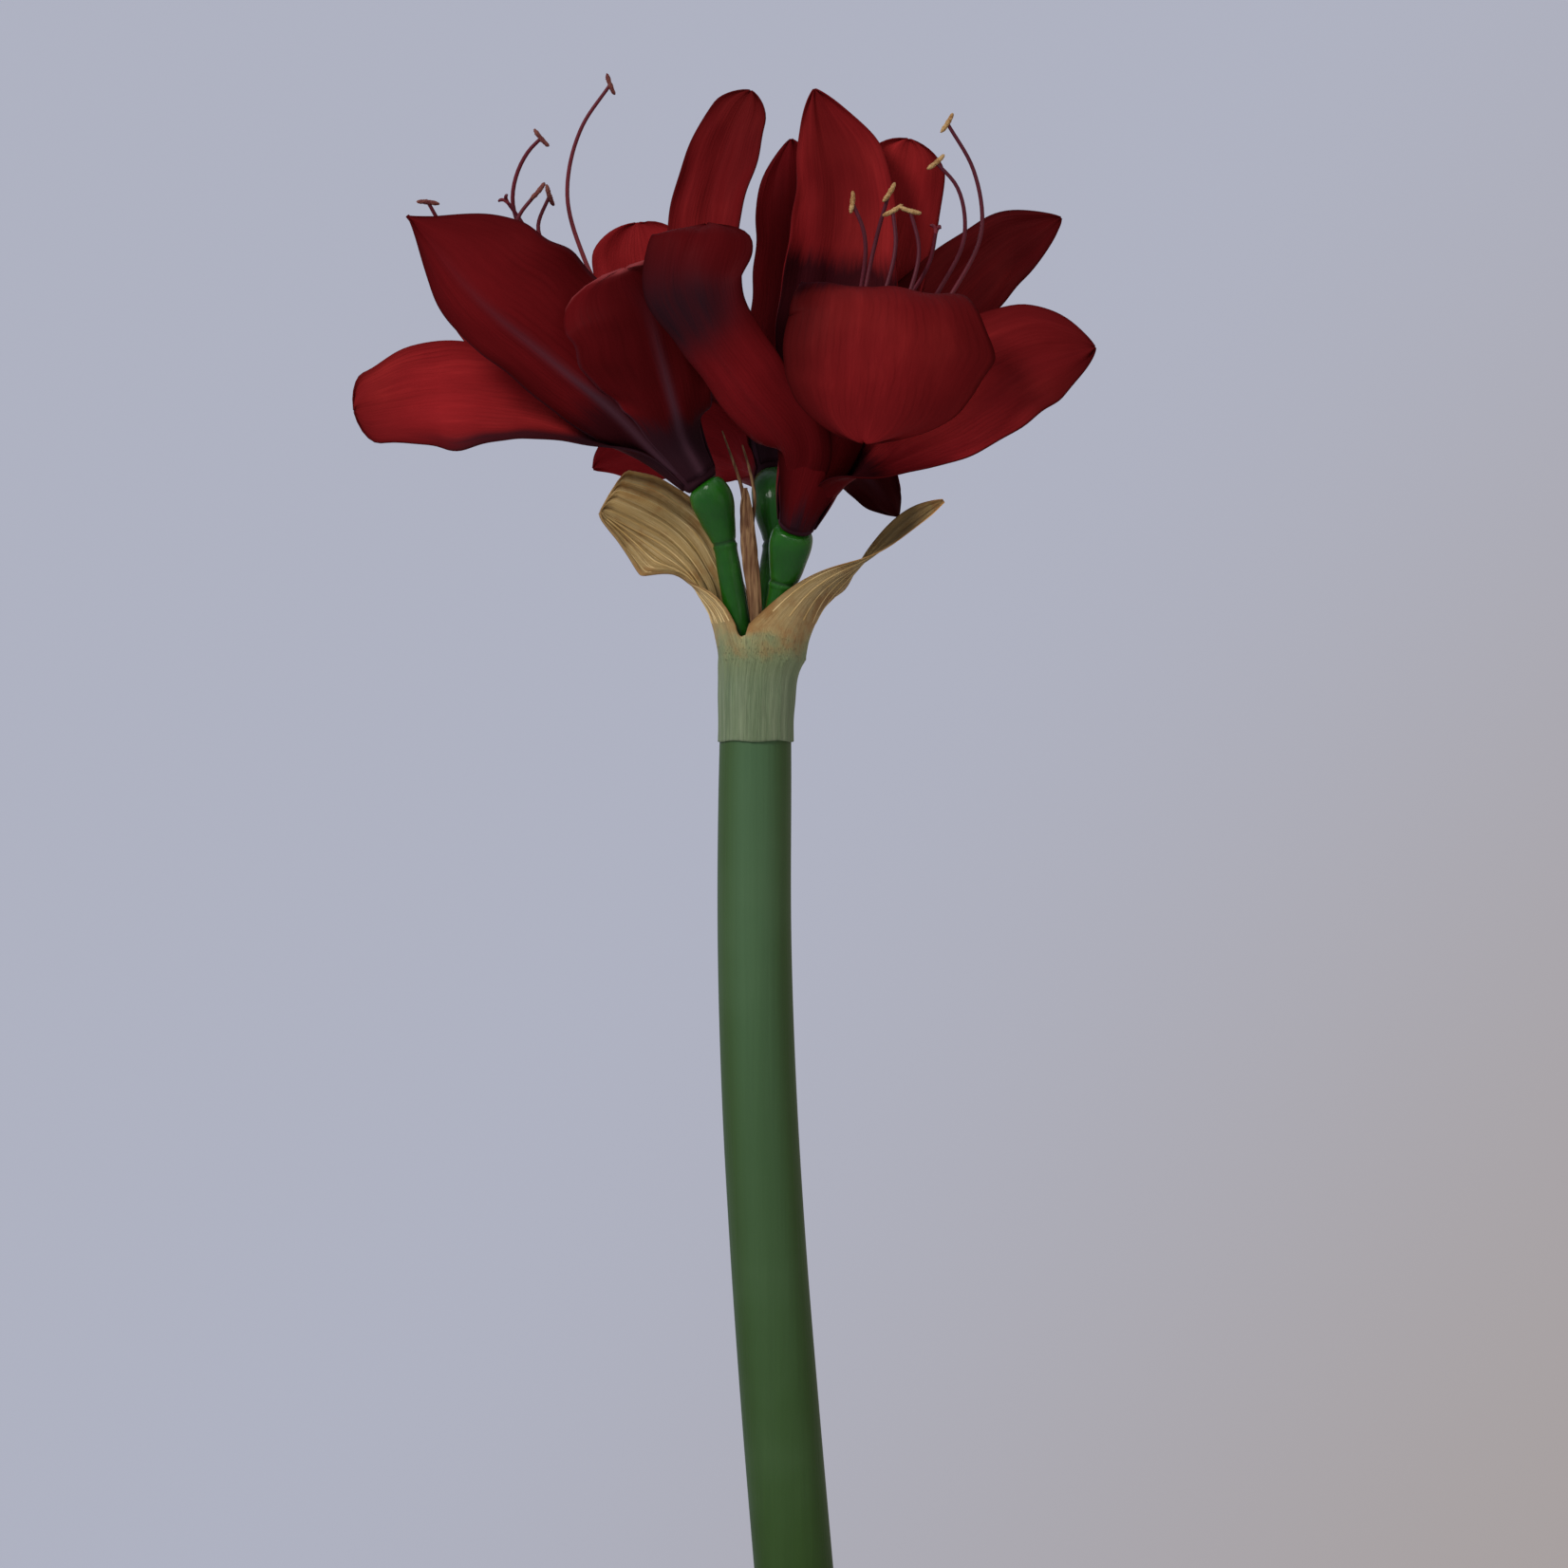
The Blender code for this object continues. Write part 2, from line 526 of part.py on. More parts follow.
def make_water(collection):
    inside = [(r, z) for r, z in inside_of(vase_profile(), GAP) if z < WATER_LEVEL]
    last_r, last_z = inside[-1]
    beyond_r, beyond_z = inside_of(vase_profile(), GAP)[len(inside)]
    share = (WATER_LEVEL - last_z) / (beyond_z - last_z)
    surface = (last_r + share * (beyond_r - last_r), WATER_LEVEL)
    floor = VASE_FLOOR + GAP
    profile = [(0.0, WATER_LEVEL), surface] + inside[::-1] + [(0.0, floor)]
    water = turned("water", profile, collection, material("water", WATER, 0.05))
    hole_line = [(x, y, z) for x, y, z in STEM_LINE[:4]]
    drop = np.array(STEM_LINE[0]) - np.array(STEM_LINE[1])
    hole_line[0] = tuple(np.array(STEM_LINE[0]) + 0.1 * drop)
    hole_radii = [radius + GAP for radius in STEM_RADII[:4]]
    hole = rod("stem_hole", hole_line, hole_radii, 12, STEM_SIDES, collection)
    fuse(water, [hole], "DIFFERENCE")
    smooth(water)


def make_scape(collection):
    """The stem with its three pedicels and ovaries, which grew as one green piece."""
    stem = rod("scape", STEM_LINE, STEM_RADII, STEM_RINGS, STEM_SIDES, collection)
    stalks = []
    for side, (line, radii) in PEDICELS.items():
        axis, _, _ = axis_frame(BLOOMS[side])
        top = np.array(BLOOMS[side]["base"]) - axis * 1.5 * GAP
        line = (*line, tuple(top - axis * SHOULDER_DEPTH[side]), tuple(top))
        stalks.append(rod("pedicel_" + side, line, radii, PEDICEL_RINGS, PEDICEL_SIDES, collection))
    fuse(stem, stalks)
    stem.data.materials.append(material("stem_green", GREEN, 0.45))
    smooth(stem, 60.0)


def ring_point(height, centre, radius, degrees):
    angle = math.radians(degrees)
    return (centre + radius * math.cos(angle), radius * math.sin(angle), height)


def make_sheath(collection):
    """One sheet: rings of the sleeve, then two valves that go on from the halves of its last ring."""
    left_span = 360.0 - (SEAM_BACK - SEAM_FRONT)
    left_angles = np.linspace(SEAM_FRONT, SEAM_FRONT - left_span, LEFT_VALVE_COLUMNS)
    right_angles = np.linspace(SEAM_BACK, SEAM_FRONT, RIGHT_VALVE_COLUMNS)
    ring_angles = np.concatenate((left_angles[:-1], right_angles[:-1]))
    sheet = bmesh.new()
    rings = []
    for height, centre, radius in SLEEVE:
        rings.append([sheet.verts.new(world(ring_point(height, centre, radius, a))) for a in ring_angles])
    for below, above in zip(rings, rings[1:]):
        for j in range(len(below)):
            k = (j + 1) % len(below)
            sheet.faces.new((below[j], below[k], above[k], above[j]))
    rim = rings[-1]
    height, centre, radius = SLEEVE[-1]
    left_rim = rim[:LEFT_VALVE_COLUMNS]
    right_rim = rim[LEFT_VALVE_COLUMNS - 1:] + rim[:1]
    for edge, angles, stations, tip, pleats in (
        (left_rim, left_angles, LEFT_VALVE, 3.0, PLEATS),
        (right_rim, right_angles, RIGHT_VALVE, 6.0, 0),
    ):
        middle = (angles[0] + angles[-1]) / 2
        half_span = abs(angles[0] - angles[-1]) / 2
        half_width = radius * math.radians(half_span)
        inward = unit((-math.cos(math.radians(middle)), -math.sin(math.radians(middle)), 0.0))
        first = at(ring_point(height, centre, radius, middle), inward, half_width, half_width, half_span)
        rows = blade_rows((first, *stations), VALVE_STEP, len(angles), tip, 0.0, pleats=pleats)
        below = edge
        for row in rows[1:]:
            above = [sheet.verts.new(world(p)) for p in row]
            for j in range(len(row) - 1):
                sheet.faces.new((below[j], below[j + 1], above[j + 1], above[j]))
            below = above
    bmesh.ops.triangulate(sheet, faces=sheet.faces[:])
    mesh = bpy.data.meshes.new("sheath")
    sheet.to_mesh(mesh)
    sheet.free()
    sheath = add_object("sheath", mesh, collection, material("dry_sheath", TAN, 0.75))
    thicken(sheath, PAPER)
    settle(sheath)
    smooth(sheath, 60.0)


def make_inner_bract(collection):
    rows = blade_rows(INNER_BRACT, BRACT_STEP, BRACT_COLUMNS, BRACT_TIP, 0.5)
    bract = add_object("inner_bract", sheet_mesh("inner_bract", rows), collection,
                       material("dry_bract", TAN, 0.8))
    thicken(bract, PAPER)
    settle(bract)
    smooth(bract, 60.0)


def axis_frame(bloom):
    """A bloom's axis and its sides: towards the viewer and, from there, to the right."""
    axis = unit(bloom["axis"])
    viewer = np.array((0.0, -1.0, 0.0))
    near = unit(viewer - axis * np.dot(viewer, axis))
    return axis, near, np.cross(axis, near)


def tepal_stations(bloom, index, tepal):
    """A tepal's stations with its root in the cup and its throat put before them."""
    axis, near, right = axis_frame(bloom)
    turn = math.radians(bloom["turn"] + 60 * index)
    out = near * math.cos(turn) + right * math.sin(turn)
    base = np.array(bloom["base"])
    root = OUTER_ROOT if index % 2 == 0 else INNER_ROOT
    throat = root + THROAT_FLARE
    inward = tuple(-out)
    stations = tepal[4]
    return (
        at(tuple(base + axis * 2.0 + out * root), inward, root * 0.9, root * 0.9, 52),
        at(tuple(base + axis * THROAT_HEIGHT + out * throat), inward, throat * 0.9, throat * 0.9, 52),
        *stations,
    )


def cone_mesh(name, base, axis, bottom_radius, top_radius, height, sides):
    axis = unit(axis)
    centre = np.array(base) + axis * height / 2
    solid = bmesh.new()
    bmesh.ops.create_cone(solid, cap_ends=True, segments=sides, radius1=bottom_radius * MM,
                          radius2=top_radius * MM, depth=height * MM)
    turn = Vector((0.0, 0.0, 1.0)).rotation_difference(Vector(axis)).to_matrix().to_4x4()
    bmesh.ops.transform(solid, matrix=Matrix.Translation(world(centre)) @ turn, verts=solid.verts[:])
    bmesh.ops.triangulate(solid, faces=solid.faces[:])
    mesh = bpy.data.meshes.new(name)
    solid.to_mesh(mesh)
    solid.free()
    return mesh


def make_tepals(side, bloom, collection, finish):
    """One bloom's six tepals, rooted in a short solid cup on the ovary."""
    axis, _, _ = axis_frame(bloom)
    cup = add_object("tepals_" + side, cone_mesh("cup", bloom["base"], axis, CUP_FOOT_RADIUS,
                                                 CUP_RADIUS, CUP_HEIGHT, 18), collection)
    blades = []
    for index, tepal in enumerate(bloom["tepals"]):
        tip, point, ruffle, waves, _ = tepal
        rows = blade_rows(tepal_stations(bloom, index, tepal), TEPAL_STEP, TEPAL_COLUMNS, tip, point,
                          KEEL, ruffle, waves)
        blade = add_object("tepal", sheet_mesh("tepal", rows), collection)
        thicken(blade, TEPAL_THICKNESS)
        settle(blade)
        blades.append(blade)
    fuse(cup, blades)
    cup.data.materials.clear()
    cup.data.materials.append(finish)
    smooth(cup, 60.0)


def anther(centre, direction, collection):
    """A slim spindle, lying across the end of its filament."""
    grain = bmesh.new()
    bmesh.ops.create_uvsphere(grain, u_segments=6, v_segments=4, radius=1.0)
    turn = Vector((0.0, 0.0, 1.0)).rotation_difference(Vector(unit(direction))).to_matrix().to_4x4()
    size = Matrix.Diagonal((ANTHER_RADIUS * MM, ANTHER_RADIUS * MM, ANTHER_LENGTH / 2 * MM, 1.0))
    place = Matrix.Translation(world(centre))
    bmesh.ops.transform(grain, matrix=place @ turn @ size, verts=grain.verts[:])
    bmesh.ops.triangulate(grain, faces=grain.faces[:])
    mesh = bpy.data.meshes.new("anther")
    grain.to_mesh(mesh)
    grain.free()
    return add_object("anther", mesh, collection)


def collar_mesh(name, base, axis):
    """The ring at the throat that carries the filaments, with a bore for the style."""
    ring = bmesh.new()
    sides = 12
    loops = []
    for radius, height in ((COLLAR_BORE, 0.0), (COLLAR_RADIUS, 0.0), (COLLAR_RADIUS, COLLAR_HEIGHT),
                           (COLLAR_BORE, COLLAR_HEIGHT)):
        loop = []
        for k in range(sides):
            angle = 2 * math.pi * k / sides
            loop.append(ring.verts.new((radius * math.cos(angle) * MM, radius * math.sin(angle) * MM,
                                        height * MM)))
        loops.append(loop)
    for a, b in zip(loops, loops[1:] + loops[:1]):
        for k in range(sides):
            j = (k + 1) % sides
            ring.faces.new((a[k], b[k], b[j], a[j]))
    bmesh.ops.recalc_face_normals(ring, faces=ring.faces[:])
    turn = Vector((0.0, 0.0, 1.0)).rotation_difference(Vector(unit(axis))).to_matrix().to_4x4()
    bmesh.ops.transform(ring, matrix=Matrix.Translation(world(base)) @ turn, verts=ring.verts[:])
    bmesh.ops.triangulate(ring, faces=ring.faces[:])
    mesh = bpy.data.meshes.new(name)
    ring.to_mesh(mesh)
    ring.free()
    return mesh


def make_stamens(side, bloom, collection, finish):
    axis, near, right = axis_frame(bloom)
    seat = np.array(bloom["base"]) + axis * (CUP_HEIGHT + GAP)
    collar = add_object("stamens_" + side, collar_mesh("collar", seat, axis), collection)
    pieces = []
    for index, (bends, direction) in enumerate(STAMENS[side][:6]):
        turn = math.radians(bloom["turn"] + 30 + 60 * index)
        out = near * math.cos(turn) + right * math.sin(turn)
        foot = seat + axis * 0.8 + out * (COLLAR_RADIUS - 1.1)
        rise = seat + axis * 16.0 + out * COLLAR_RADIUS
        line = (tuple(foot), tuple(rise), *bends)
        radii = [FILAMENT_RADIUS] * len(line)
        pieces.append(rod("filament", line, radii, 9, 1, collection))
        pieces.append(anther(bends[-1], direction, collection))
    fuse(collar, pieces)
    collar.data.materials.clear()
    collar.data.materials.append(finish)
    smooth(collar, 60.0)


def make_pistil(side, bloom, collection, finish):
    """The style, rising through the collar, with a stigma of three short lobes."""
    axis, near, right = axis_frame(bloom)
    seat = np.array(bloom["base"]) + axis * (CUP_HEIGHT + GAP)
    bends = STAMENS[side][6][0]
    line = (tuple(seat), tuple(seat + axis * 16.0), *bends)
    style = rod("pistil_" + side, line, [STYLE_RADIUS] * len(line), 10, 1, collection)
    tip = np.array(bends[-1], dtype=float)
    forward = unit(tip - np.array(bends[-2]))
    across = unit(np.cross(forward, (0.0, 1.0, 0.2)))
    lobes = []
    for k in range(3):
        angle = 2 * math.pi * k / 3
        out = across * math.cos(angle) + np.cross(forward, across) * math.sin(angle)
        line = (tuple(tip - forward), tuple(tip + forward * 0.8 + out * 0.8),
                tuple(tip + forward * STIGMA_LOBE * 0.6 + out * STIGMA_LOBE))
        lobes.append(rod("lobe", line, (0.8, 0.7, 0.5), 3, 1, collection))
    fuse(style, lobes)
    style.data.materials.clear()
    style.data.materials.append(finish)
    smooth(style, 60.0)


def main():
    for thing in list(bpy.data.objects):
        bpy.data.objects.remove(thing)
    collection = bpy.data.collections.new("amaryllis_in_vase")
    bpy.context.scene.collection.children.link(collection)
    make_vase(collection)
    make_water(collection)
    make_scape(collection)
    make_sheath(collection)
    make_inner_bract(collection)
    velvet = material("tepal_red", RED, 0.5)
    anthers = material("stamen_red", POLLEN, 0.7)
    styles = material("style_red", DARK_RED, 0.5)
    for side, bloom in BLOOMS.items():
        make_tepals(side, bloom, collection, velvet)
        make_stamens(side, bloom, collection, anthers)
        make_pistil(side, bloom, collection, styles)


main()
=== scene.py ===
# %% [markdown]
# # An amaryllis in a vase
#
# This lesson dresses a plain solid model of a cut amaryllis for its picture. The solids already have
# the right sizes and places, so each step looks at one part of the real flower, chooses a way to make
# it, and puts the finer piece where the plain one stands. Lengths are in millimetres until a mesh is
# made, because a flower is easier to think of in millimetres than in metres.

# %% Load the frame
import math

import bmesh
import bpy
import numpy as np
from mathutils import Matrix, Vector

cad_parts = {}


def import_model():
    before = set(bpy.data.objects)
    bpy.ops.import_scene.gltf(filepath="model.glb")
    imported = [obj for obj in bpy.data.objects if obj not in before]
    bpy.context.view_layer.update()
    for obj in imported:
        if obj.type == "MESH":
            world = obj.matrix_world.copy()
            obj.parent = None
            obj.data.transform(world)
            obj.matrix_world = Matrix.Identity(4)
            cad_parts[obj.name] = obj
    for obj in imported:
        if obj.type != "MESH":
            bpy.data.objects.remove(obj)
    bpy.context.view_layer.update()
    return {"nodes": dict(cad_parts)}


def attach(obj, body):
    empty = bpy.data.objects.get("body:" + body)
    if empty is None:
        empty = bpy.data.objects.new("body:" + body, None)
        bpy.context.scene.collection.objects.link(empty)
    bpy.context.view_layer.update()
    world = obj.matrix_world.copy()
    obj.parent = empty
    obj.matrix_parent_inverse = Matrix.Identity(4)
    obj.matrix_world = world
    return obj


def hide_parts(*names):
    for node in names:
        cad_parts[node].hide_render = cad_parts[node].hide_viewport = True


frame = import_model()
print("solids:", ", ".join(sorted(frame["nodes"])))

# %% [markdown]
# ## Units and the place of the flower head
#
# The model's origin is under the vase. Points on the flower are easier to give from the stem's top,
# where the papery sheath opens, so one helper turns such a point into metres in the model's frame.

# %% Units
MM = 0.001
HEAD = np.array((-22.4, 0.0, 589.4))


def world(points):
    """Points measured from the stem's top in millimetres, in metres from the vase's foot."""
    return (np.asarray(points, dtype=float) + HEAD) * MM


def unit(vectors):
    vectors = np.asarray(vectors, dtype=float)
    return vectors / np.linalg.norm(vectors, axis=-1, keepdims=True)


print("the stem's top is at", world((0.0, 0.0, 0.0)))

# %% [markdown]
# ## Camera
#
# The photograph looks straight at the flower from a few metres away, and cuts the stem off above its
# vase. A long lens keeps the near petals from looking too large. The frame is 0.545 m square where
# the stem stands.

# %% Camera
DISTANCE = 4.0
FRAME_SIZE = 0.545
AIM = Vector((-0.0129, 0.0, 0.5346))

lens = bpy.data.cameras.new("camera")
lens.sensor_width = 36.0
lens.lens = lens.sensor_width * DISTANCE / FRAME_SIZE
lens.clip_end = 50.0
camera = bpy.data.objects.new("camera", lens)
camera.location = AIM + Vector((0.0, -DISTANCE, 0.0))
camera.rotation_euler = (math.radians(90.0), 0.0, 0.0)
bpy.context.scene.collection.objects.link(camera)
bpy.context.scene.camera = camera
print("lens", round(lens.lens), "mm")

# %% [markdown]
# ## Room light
#
# The picture was taken indoors in soft grey daylight: the wall behind is a pale blue grey that turns a
# little warmer to the lower right, and nothing throws a hard shadow. A world colour gives most of the
# light, so that it comes from everywhere. It changes slowly with the direction, as the wall does. Two
# large soft lamps in front add the gentle highlights on the glossy stalks.

# %% World and lamps
WALL_LEFT = (0.430, 0.448, 0.540)
WALL_RIGHT = (0.385, 0.345, 0.335)


def light_the_room():
    world_shader = bpy.data.worlds.new("room")
    world_shader.use_nodes = True
    tree = world_shader.node_tree
    background = tree.nodes["Background"]
    direction = tree.nodes.new("ShaderNodeTexCoord")
    split = tree.nodes.new("ShaderNodeSeparateXYZ")
    tree.links.new(direction.outputs["Generated"], split.inputs[0])
    lean = tree.nodes.new("ShaderNodeMath")
    lean.operation = "MULTIPLY_ADD"
    lean.inputs[1].default_value = -0.7
    tree.links.new(split.outputs["Z"], lean.inputs[0])
    tree.links.new(split.outputs["X"], lean.inputs[2])
    spread = tree.nodes.new("ShaderNodeMapRange")
    spread.interpolation_type = "SMOOTHSTEP"
    spread.inputs["From Min"].default_value = -0.01
    spread.inputs["From Max"].default_value = 0.14
    tree.links.new(lean.outputs[0], spread.inputs["Value"])
    blend = tree.nodes.new("ShaderNodeMix")
    blend.data_type = "RGBA"
    blend.inputs[6].default_value = (*WALL_LEFT, 1.0)
    blend.inputs[7].default_value = (*WALL_RIGHT, 1.0)
    tree.links.new(spread.outputs[0], blend.inputs[0])
    tree.links.new(blend.outputs[2], background.inputs["Color"])
    bpy.context.scene.world = world_shader


def soft_lamp(name, place, size, watts, colour):
    lamp = bpy.data.lights.new(name, "AREA")
    lamp.shape = "SQUARE"
    lamp.size = size
    lamp.energy = watts
    lamp.color = colour
    holder = bpy.data.objects.new(name, lamp)
    holder.location = place
    holder.rotation_euler = (AIM - Vector(place)).to_track_quat("-Z", "Y").to_euler()
    bpy.context.scene.collection.objects.link(holder)


light_the_room()
soft_lamp("window", (-1.3, -1.6, 2.1), 0.8, 34.0, (1.0, 0.98, 0.95))
soft_lamp("room_fill", (1.6, -2.4, 0.9), 1.6, 4.0, (0.93, 0.96, 1.0))
bpy.context.scene.view_settings.view_transform = "Standard"
print("lamps and a world colour are set")

# %% [markdown]
# ## Floor
#
# A pale round floor catches the vase's shadow in the other views. It ends well before the part of the
# background that the camera sees, because the photograph shows only the wall.

# %% Floor
FLOOR_RADIUS = 1.6


def make_floor():
    disc = bmesh.new()
    bmesh.ops.create_circle(disc, cap_ends=True, segments=96, radius=FLOOR_RADIUS)
    mesh = bpy.data.meshes.new("floor")
    disc.to_mesh(mesh)
    disc.free()
    floor = bpy.data.objects.new("floor", mesh)
    bpy.context.scene.collection.objects.link(floor)
    paint = bpy.data.materials.new("floor_paint")
    paint.use_nodes = True
    shader = paint.node_tree.nodes["Principled BSDF"]
    shader.inputs["Base Color"].default_value = (0.62, 0.62, 0.62, 1.0)
    shader.inputs["Roughness"].default_value = 0.8
    mesh.materials.append(paint)


make_floor()
print("floor radius", FLOOR_RADIUS, "m")

# %% [markdown]
# ## Writing node trees as sums
#
# A petal's colour is a sum of many masks. Wiring each Math node by hand hides the idea, so a small
# class wraps one output of a node and lets Python's own signs add the Math nodes. One method adds any
# other node from its type, its settings and the values of its sockets. It serves geometry trees too.

# %% A wire and a tree
class Wire:
    """One output of a node. Sums and products of wires add the Math nodes that work them out."""

    def __init__(self, tree, node, socket):
        self.tree = tree
        self.node = node
        self.socket = socket

    def math(self, operation, *values):
        return self.tree.node("ShaderNodeMath", {"operation": operation}, dict(enumerate(values)))

    def __add__(self, other):
        return self.math("ADD", self, other)

    def __radd__(self, other):
        return self.math("ADD", other, self)

    def __sub__(self, other):
        return self.math("SUBTRACT", self, other)

    def __rsub__(self, other):
        return self.math("SUBTRACT", other, self)

    def __mul__(self, other):
        return self.math("MULTIPLY", self, other)

    def __rmul__(self, other):
        return self.math("MULTIPLY", other, self)

    def __pow__(self, other):
        return self.math("POWER", self, other)

    def sine(self):
        return self.math("SINE", self)

    def step(self, low, high):
        """0 below low, 1 above high, and a soft change between them."""
        return self.tree.node("ShaderNodeMapRange", {"interpolation_type": "SMOOTHSTEP"},
                              {"Value": self, "From Min": low, "From Max": high})

    def part(self, name):
        """Another output of the same node."""
        return Wire(self.tree, self.node, self.node.outputs[name])


class Tree:
    """A node tree that is written as a list of calls."""

    def __init__(self, nodes_and_links):
        self.inner = nodes_and_links

    def feed(self, socket, value):
        if isinstance(value, Wire):
            self.inner.links.new(value.socket, socket)
        elif socket.type == "RGBA" and len(value) == 3:
            socket.default_value = (*value, 1.0)
        else:
            socket.default_value = value

    def node(self, kind, settings=None, values=None, output=0):
        made = self.inner.nodes.new(kind)
        for name, value in (settings or {}).items():
            setattr(made, name, value)
        for name, value in (values or {}).items():
            self.feed(made.inputs[name], value)
        return Wire(self, made, made.outputs[output])

    def mix(self, share, first, second):
        """The first colour where share is 0, and the second where it is 1."""
        return self.node("ShaderNodeMix", {"data_type": "RGBA"}, {0: share, 6: first, 7: second}, 2)

    def shade(self, colour, brightness):
        """A colour made darker or lighter by a wire."""
        grey = self.node("ShaderNodeCombineXYZ", None, {0: brightness, 1: brightness, 2: brightness})
        return self.node("ShaderNodeVectorMath", {"operation": "MULTIPLY"}, {0: colour, 1: grey})

    def vector(self, x, y, z):
        return self.node("ShaderNodeCombineXYZ", None, {0: x, 1: y, 2: z})

    def split(self, vector):
        parts = self.node("ShaderNodeSeparateXYZ", None, {0: vector})
        return parts, parts.part("Y"), parts.part("Z")

    def noise(self, place, scale, detail=3.0, roughness=0.5):
        return self.node("ShaderNodeTexNoise", None,
                         {"Vector": place, "Scale": scale, "Detail": detail, "Roughness": roughness})

    def place(self):
        """Where a point is on the object, in metres."""
        return self.node("ShaderNodeTexCoord", None, None, "Object")

    def stored(self, name):
        """A vector that the mesh stores at each point."""
        return self.node("ShaderNodeAttribute", {"attribute_name": name}, None, "Vector")


def finish(name, **constants):
    """A new material, as (material, its tree, its shader). The constants go on the shader's sockets."""
    made = bpy.data.materials.new(name)
    made.use_nodes = True
    shader = made.node_tree.nodes["Principled BSDF"]
    for socket, value in constants.items():
        shader.inputs[socket.replace("_", " ")].default_value = value
    return made, Tree(made.node_tree), shader


def raise_surface(tree, shader, height, distance):
    """Bumps the surface by a height wire; distance is the real height in metres of a height of 1."""
    bump = tree.node("ShaderNodeBump", None, {"Height": height, "Distance": distance})
    tree.feed(shader.inputs["Normal"], bump)


print("node helpers are ready")

# %% [markdown]
# ## Smooth lines through a few points
#
# Petals, stalks and threads all follow a smooth line that passes a few chosen stations. Each station
# is a row of numbers, its point first, and everything in the row changes smoothly along the line:
# the point, the width, the direction that the petal faces. A cubic curve between each two stations
# does this, and it is measured by its length, so that rows can be spaced evenly.

# %% A curve through stations
def distances(stations):
    """How far along the line each station lies. Its first three values are its point."""
    points = np.array(stations, dtype=float)[:, :3]
    steps = np.linalg.norm(np.diff(points, axis=0), axis=1)
    return np.concatenate(([0.0], np.cumsum(steps)))


def through(stations, places):
    """Reads a smooth curve through the stations at places along it."""
    rows = np.array(stations, dtype=float)
    knots = distances(stations)
    slopes = np.gradient(rows, knots, axis=0)
    first = np.clip(np.searchsorted(knots, places, side="right") - 1, 0, len(knots) - 2)
    span = (knots[first + 1] - knots[first])[:, None]
    u = (places[:, None] - knots[first][:, None]) / span
    a, b = rows[first], rows[first + 1]
    da, db = slopes[first] * span, slopes[first + 1] * span
    cubic = (2 * u**3 - 3 * u**2 + 1) * a + (u**3 - 2 * u**2 + u) * da
    return cubic + (3 * u**2 - 2 * u**3) * b + (u**3 - u**2) * db


def evenly(stations, count):
    return through(stations, np.linspace(0.0, distances(stations)[-1], count))


def soft(low, high, value):
    """0 below low, 1 above high, and a soft change between them."""
    share = np.clip((np.asarray(value, dtype=float) - low) / (high - low), 0.0, 1.0)
    return share * share * (3.0 - 2.0 * share)


print("a curve through three stations:", np.round(evenly(((0, 0, 0), (10, 0, 2), (20, 0, 0)), 5)[:, 2], 2))

# %% [markdown]
# ## Making a mesh object
#
# Every piece ends as one mesh object that sits at the origin. This helper takes points in metres and
# faces, stores any extra numbers that the material reads, makes the shading smooth, and hides the
# plain solid that the piece stands for. The body is called root, because nothing on a flower is jointed.

# %% Mesh helper
def piece(name, points, faces, material, node, stored=None):
    """A finished mesh piece. stored maps an attribute's name to one vector for each point."""
    mesh = bpy.data.meshes.new(name)
    mesh.from_pydata([tuple(p) for p in points], [], [tuple(f) for f in faces])
    for label, values in (stored or {}).items():
        layer = mesh.attributes.new(label, "FLOAT_VECTOR", "POINT")
        layer.data.foreach_set("vector", np.asarray(values, dtype=np.float32).ravel())
    mesh.materials.append(material)
    mesh.shade_smooth()
    made = bpy.data.objects.new(name, mesh)
    bpy.context.scene.collection.objects.link(made)
    claim(made, node)
    return made


def claim(made, node):
    """The piece rides on the plant's only body, and stands for a plain solid."""
    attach(made, "root")
    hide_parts(node)
    print(made.name, "has", len(made.data.polygons), "faces")


print("mesh helper is ready")

# %% [markdown]
# ## The blade: one rule for every leaf-like sheet
#
# A petal is a thin sheet with a midrib. At each station the rule knows the midrib's point, where the
# inner face looks, the two half widths and how far the margins turn in. Across the sheet each row is
# an arc of a circle, so a cup angle of 0 is flat and 50 degrees is a gutter. The tip closes as an
# ellipse. The margins get a slow ruffle, the keel makes the midrib stand out on the outer
# face, and small waves keep the outline and the surface from looking cut out with scissors.
# The same rule made the plain solids, so the fine sheets lie inside them.

# %% Blade rule
TIP_HALF_WIDTH = 0.5
KEEL = 0.9
KEEL_WIDTH = 4.0
PLEAT_DEPTH = 0.9


def at(point, faces, left, right, cup):
    """One station: midrib point, where the inner face looks, half widths as seen on that face with
    the tip up, and how far the margins turn in, in degrees."""
    return (*point, *faces, left, right, math.radians(cup))


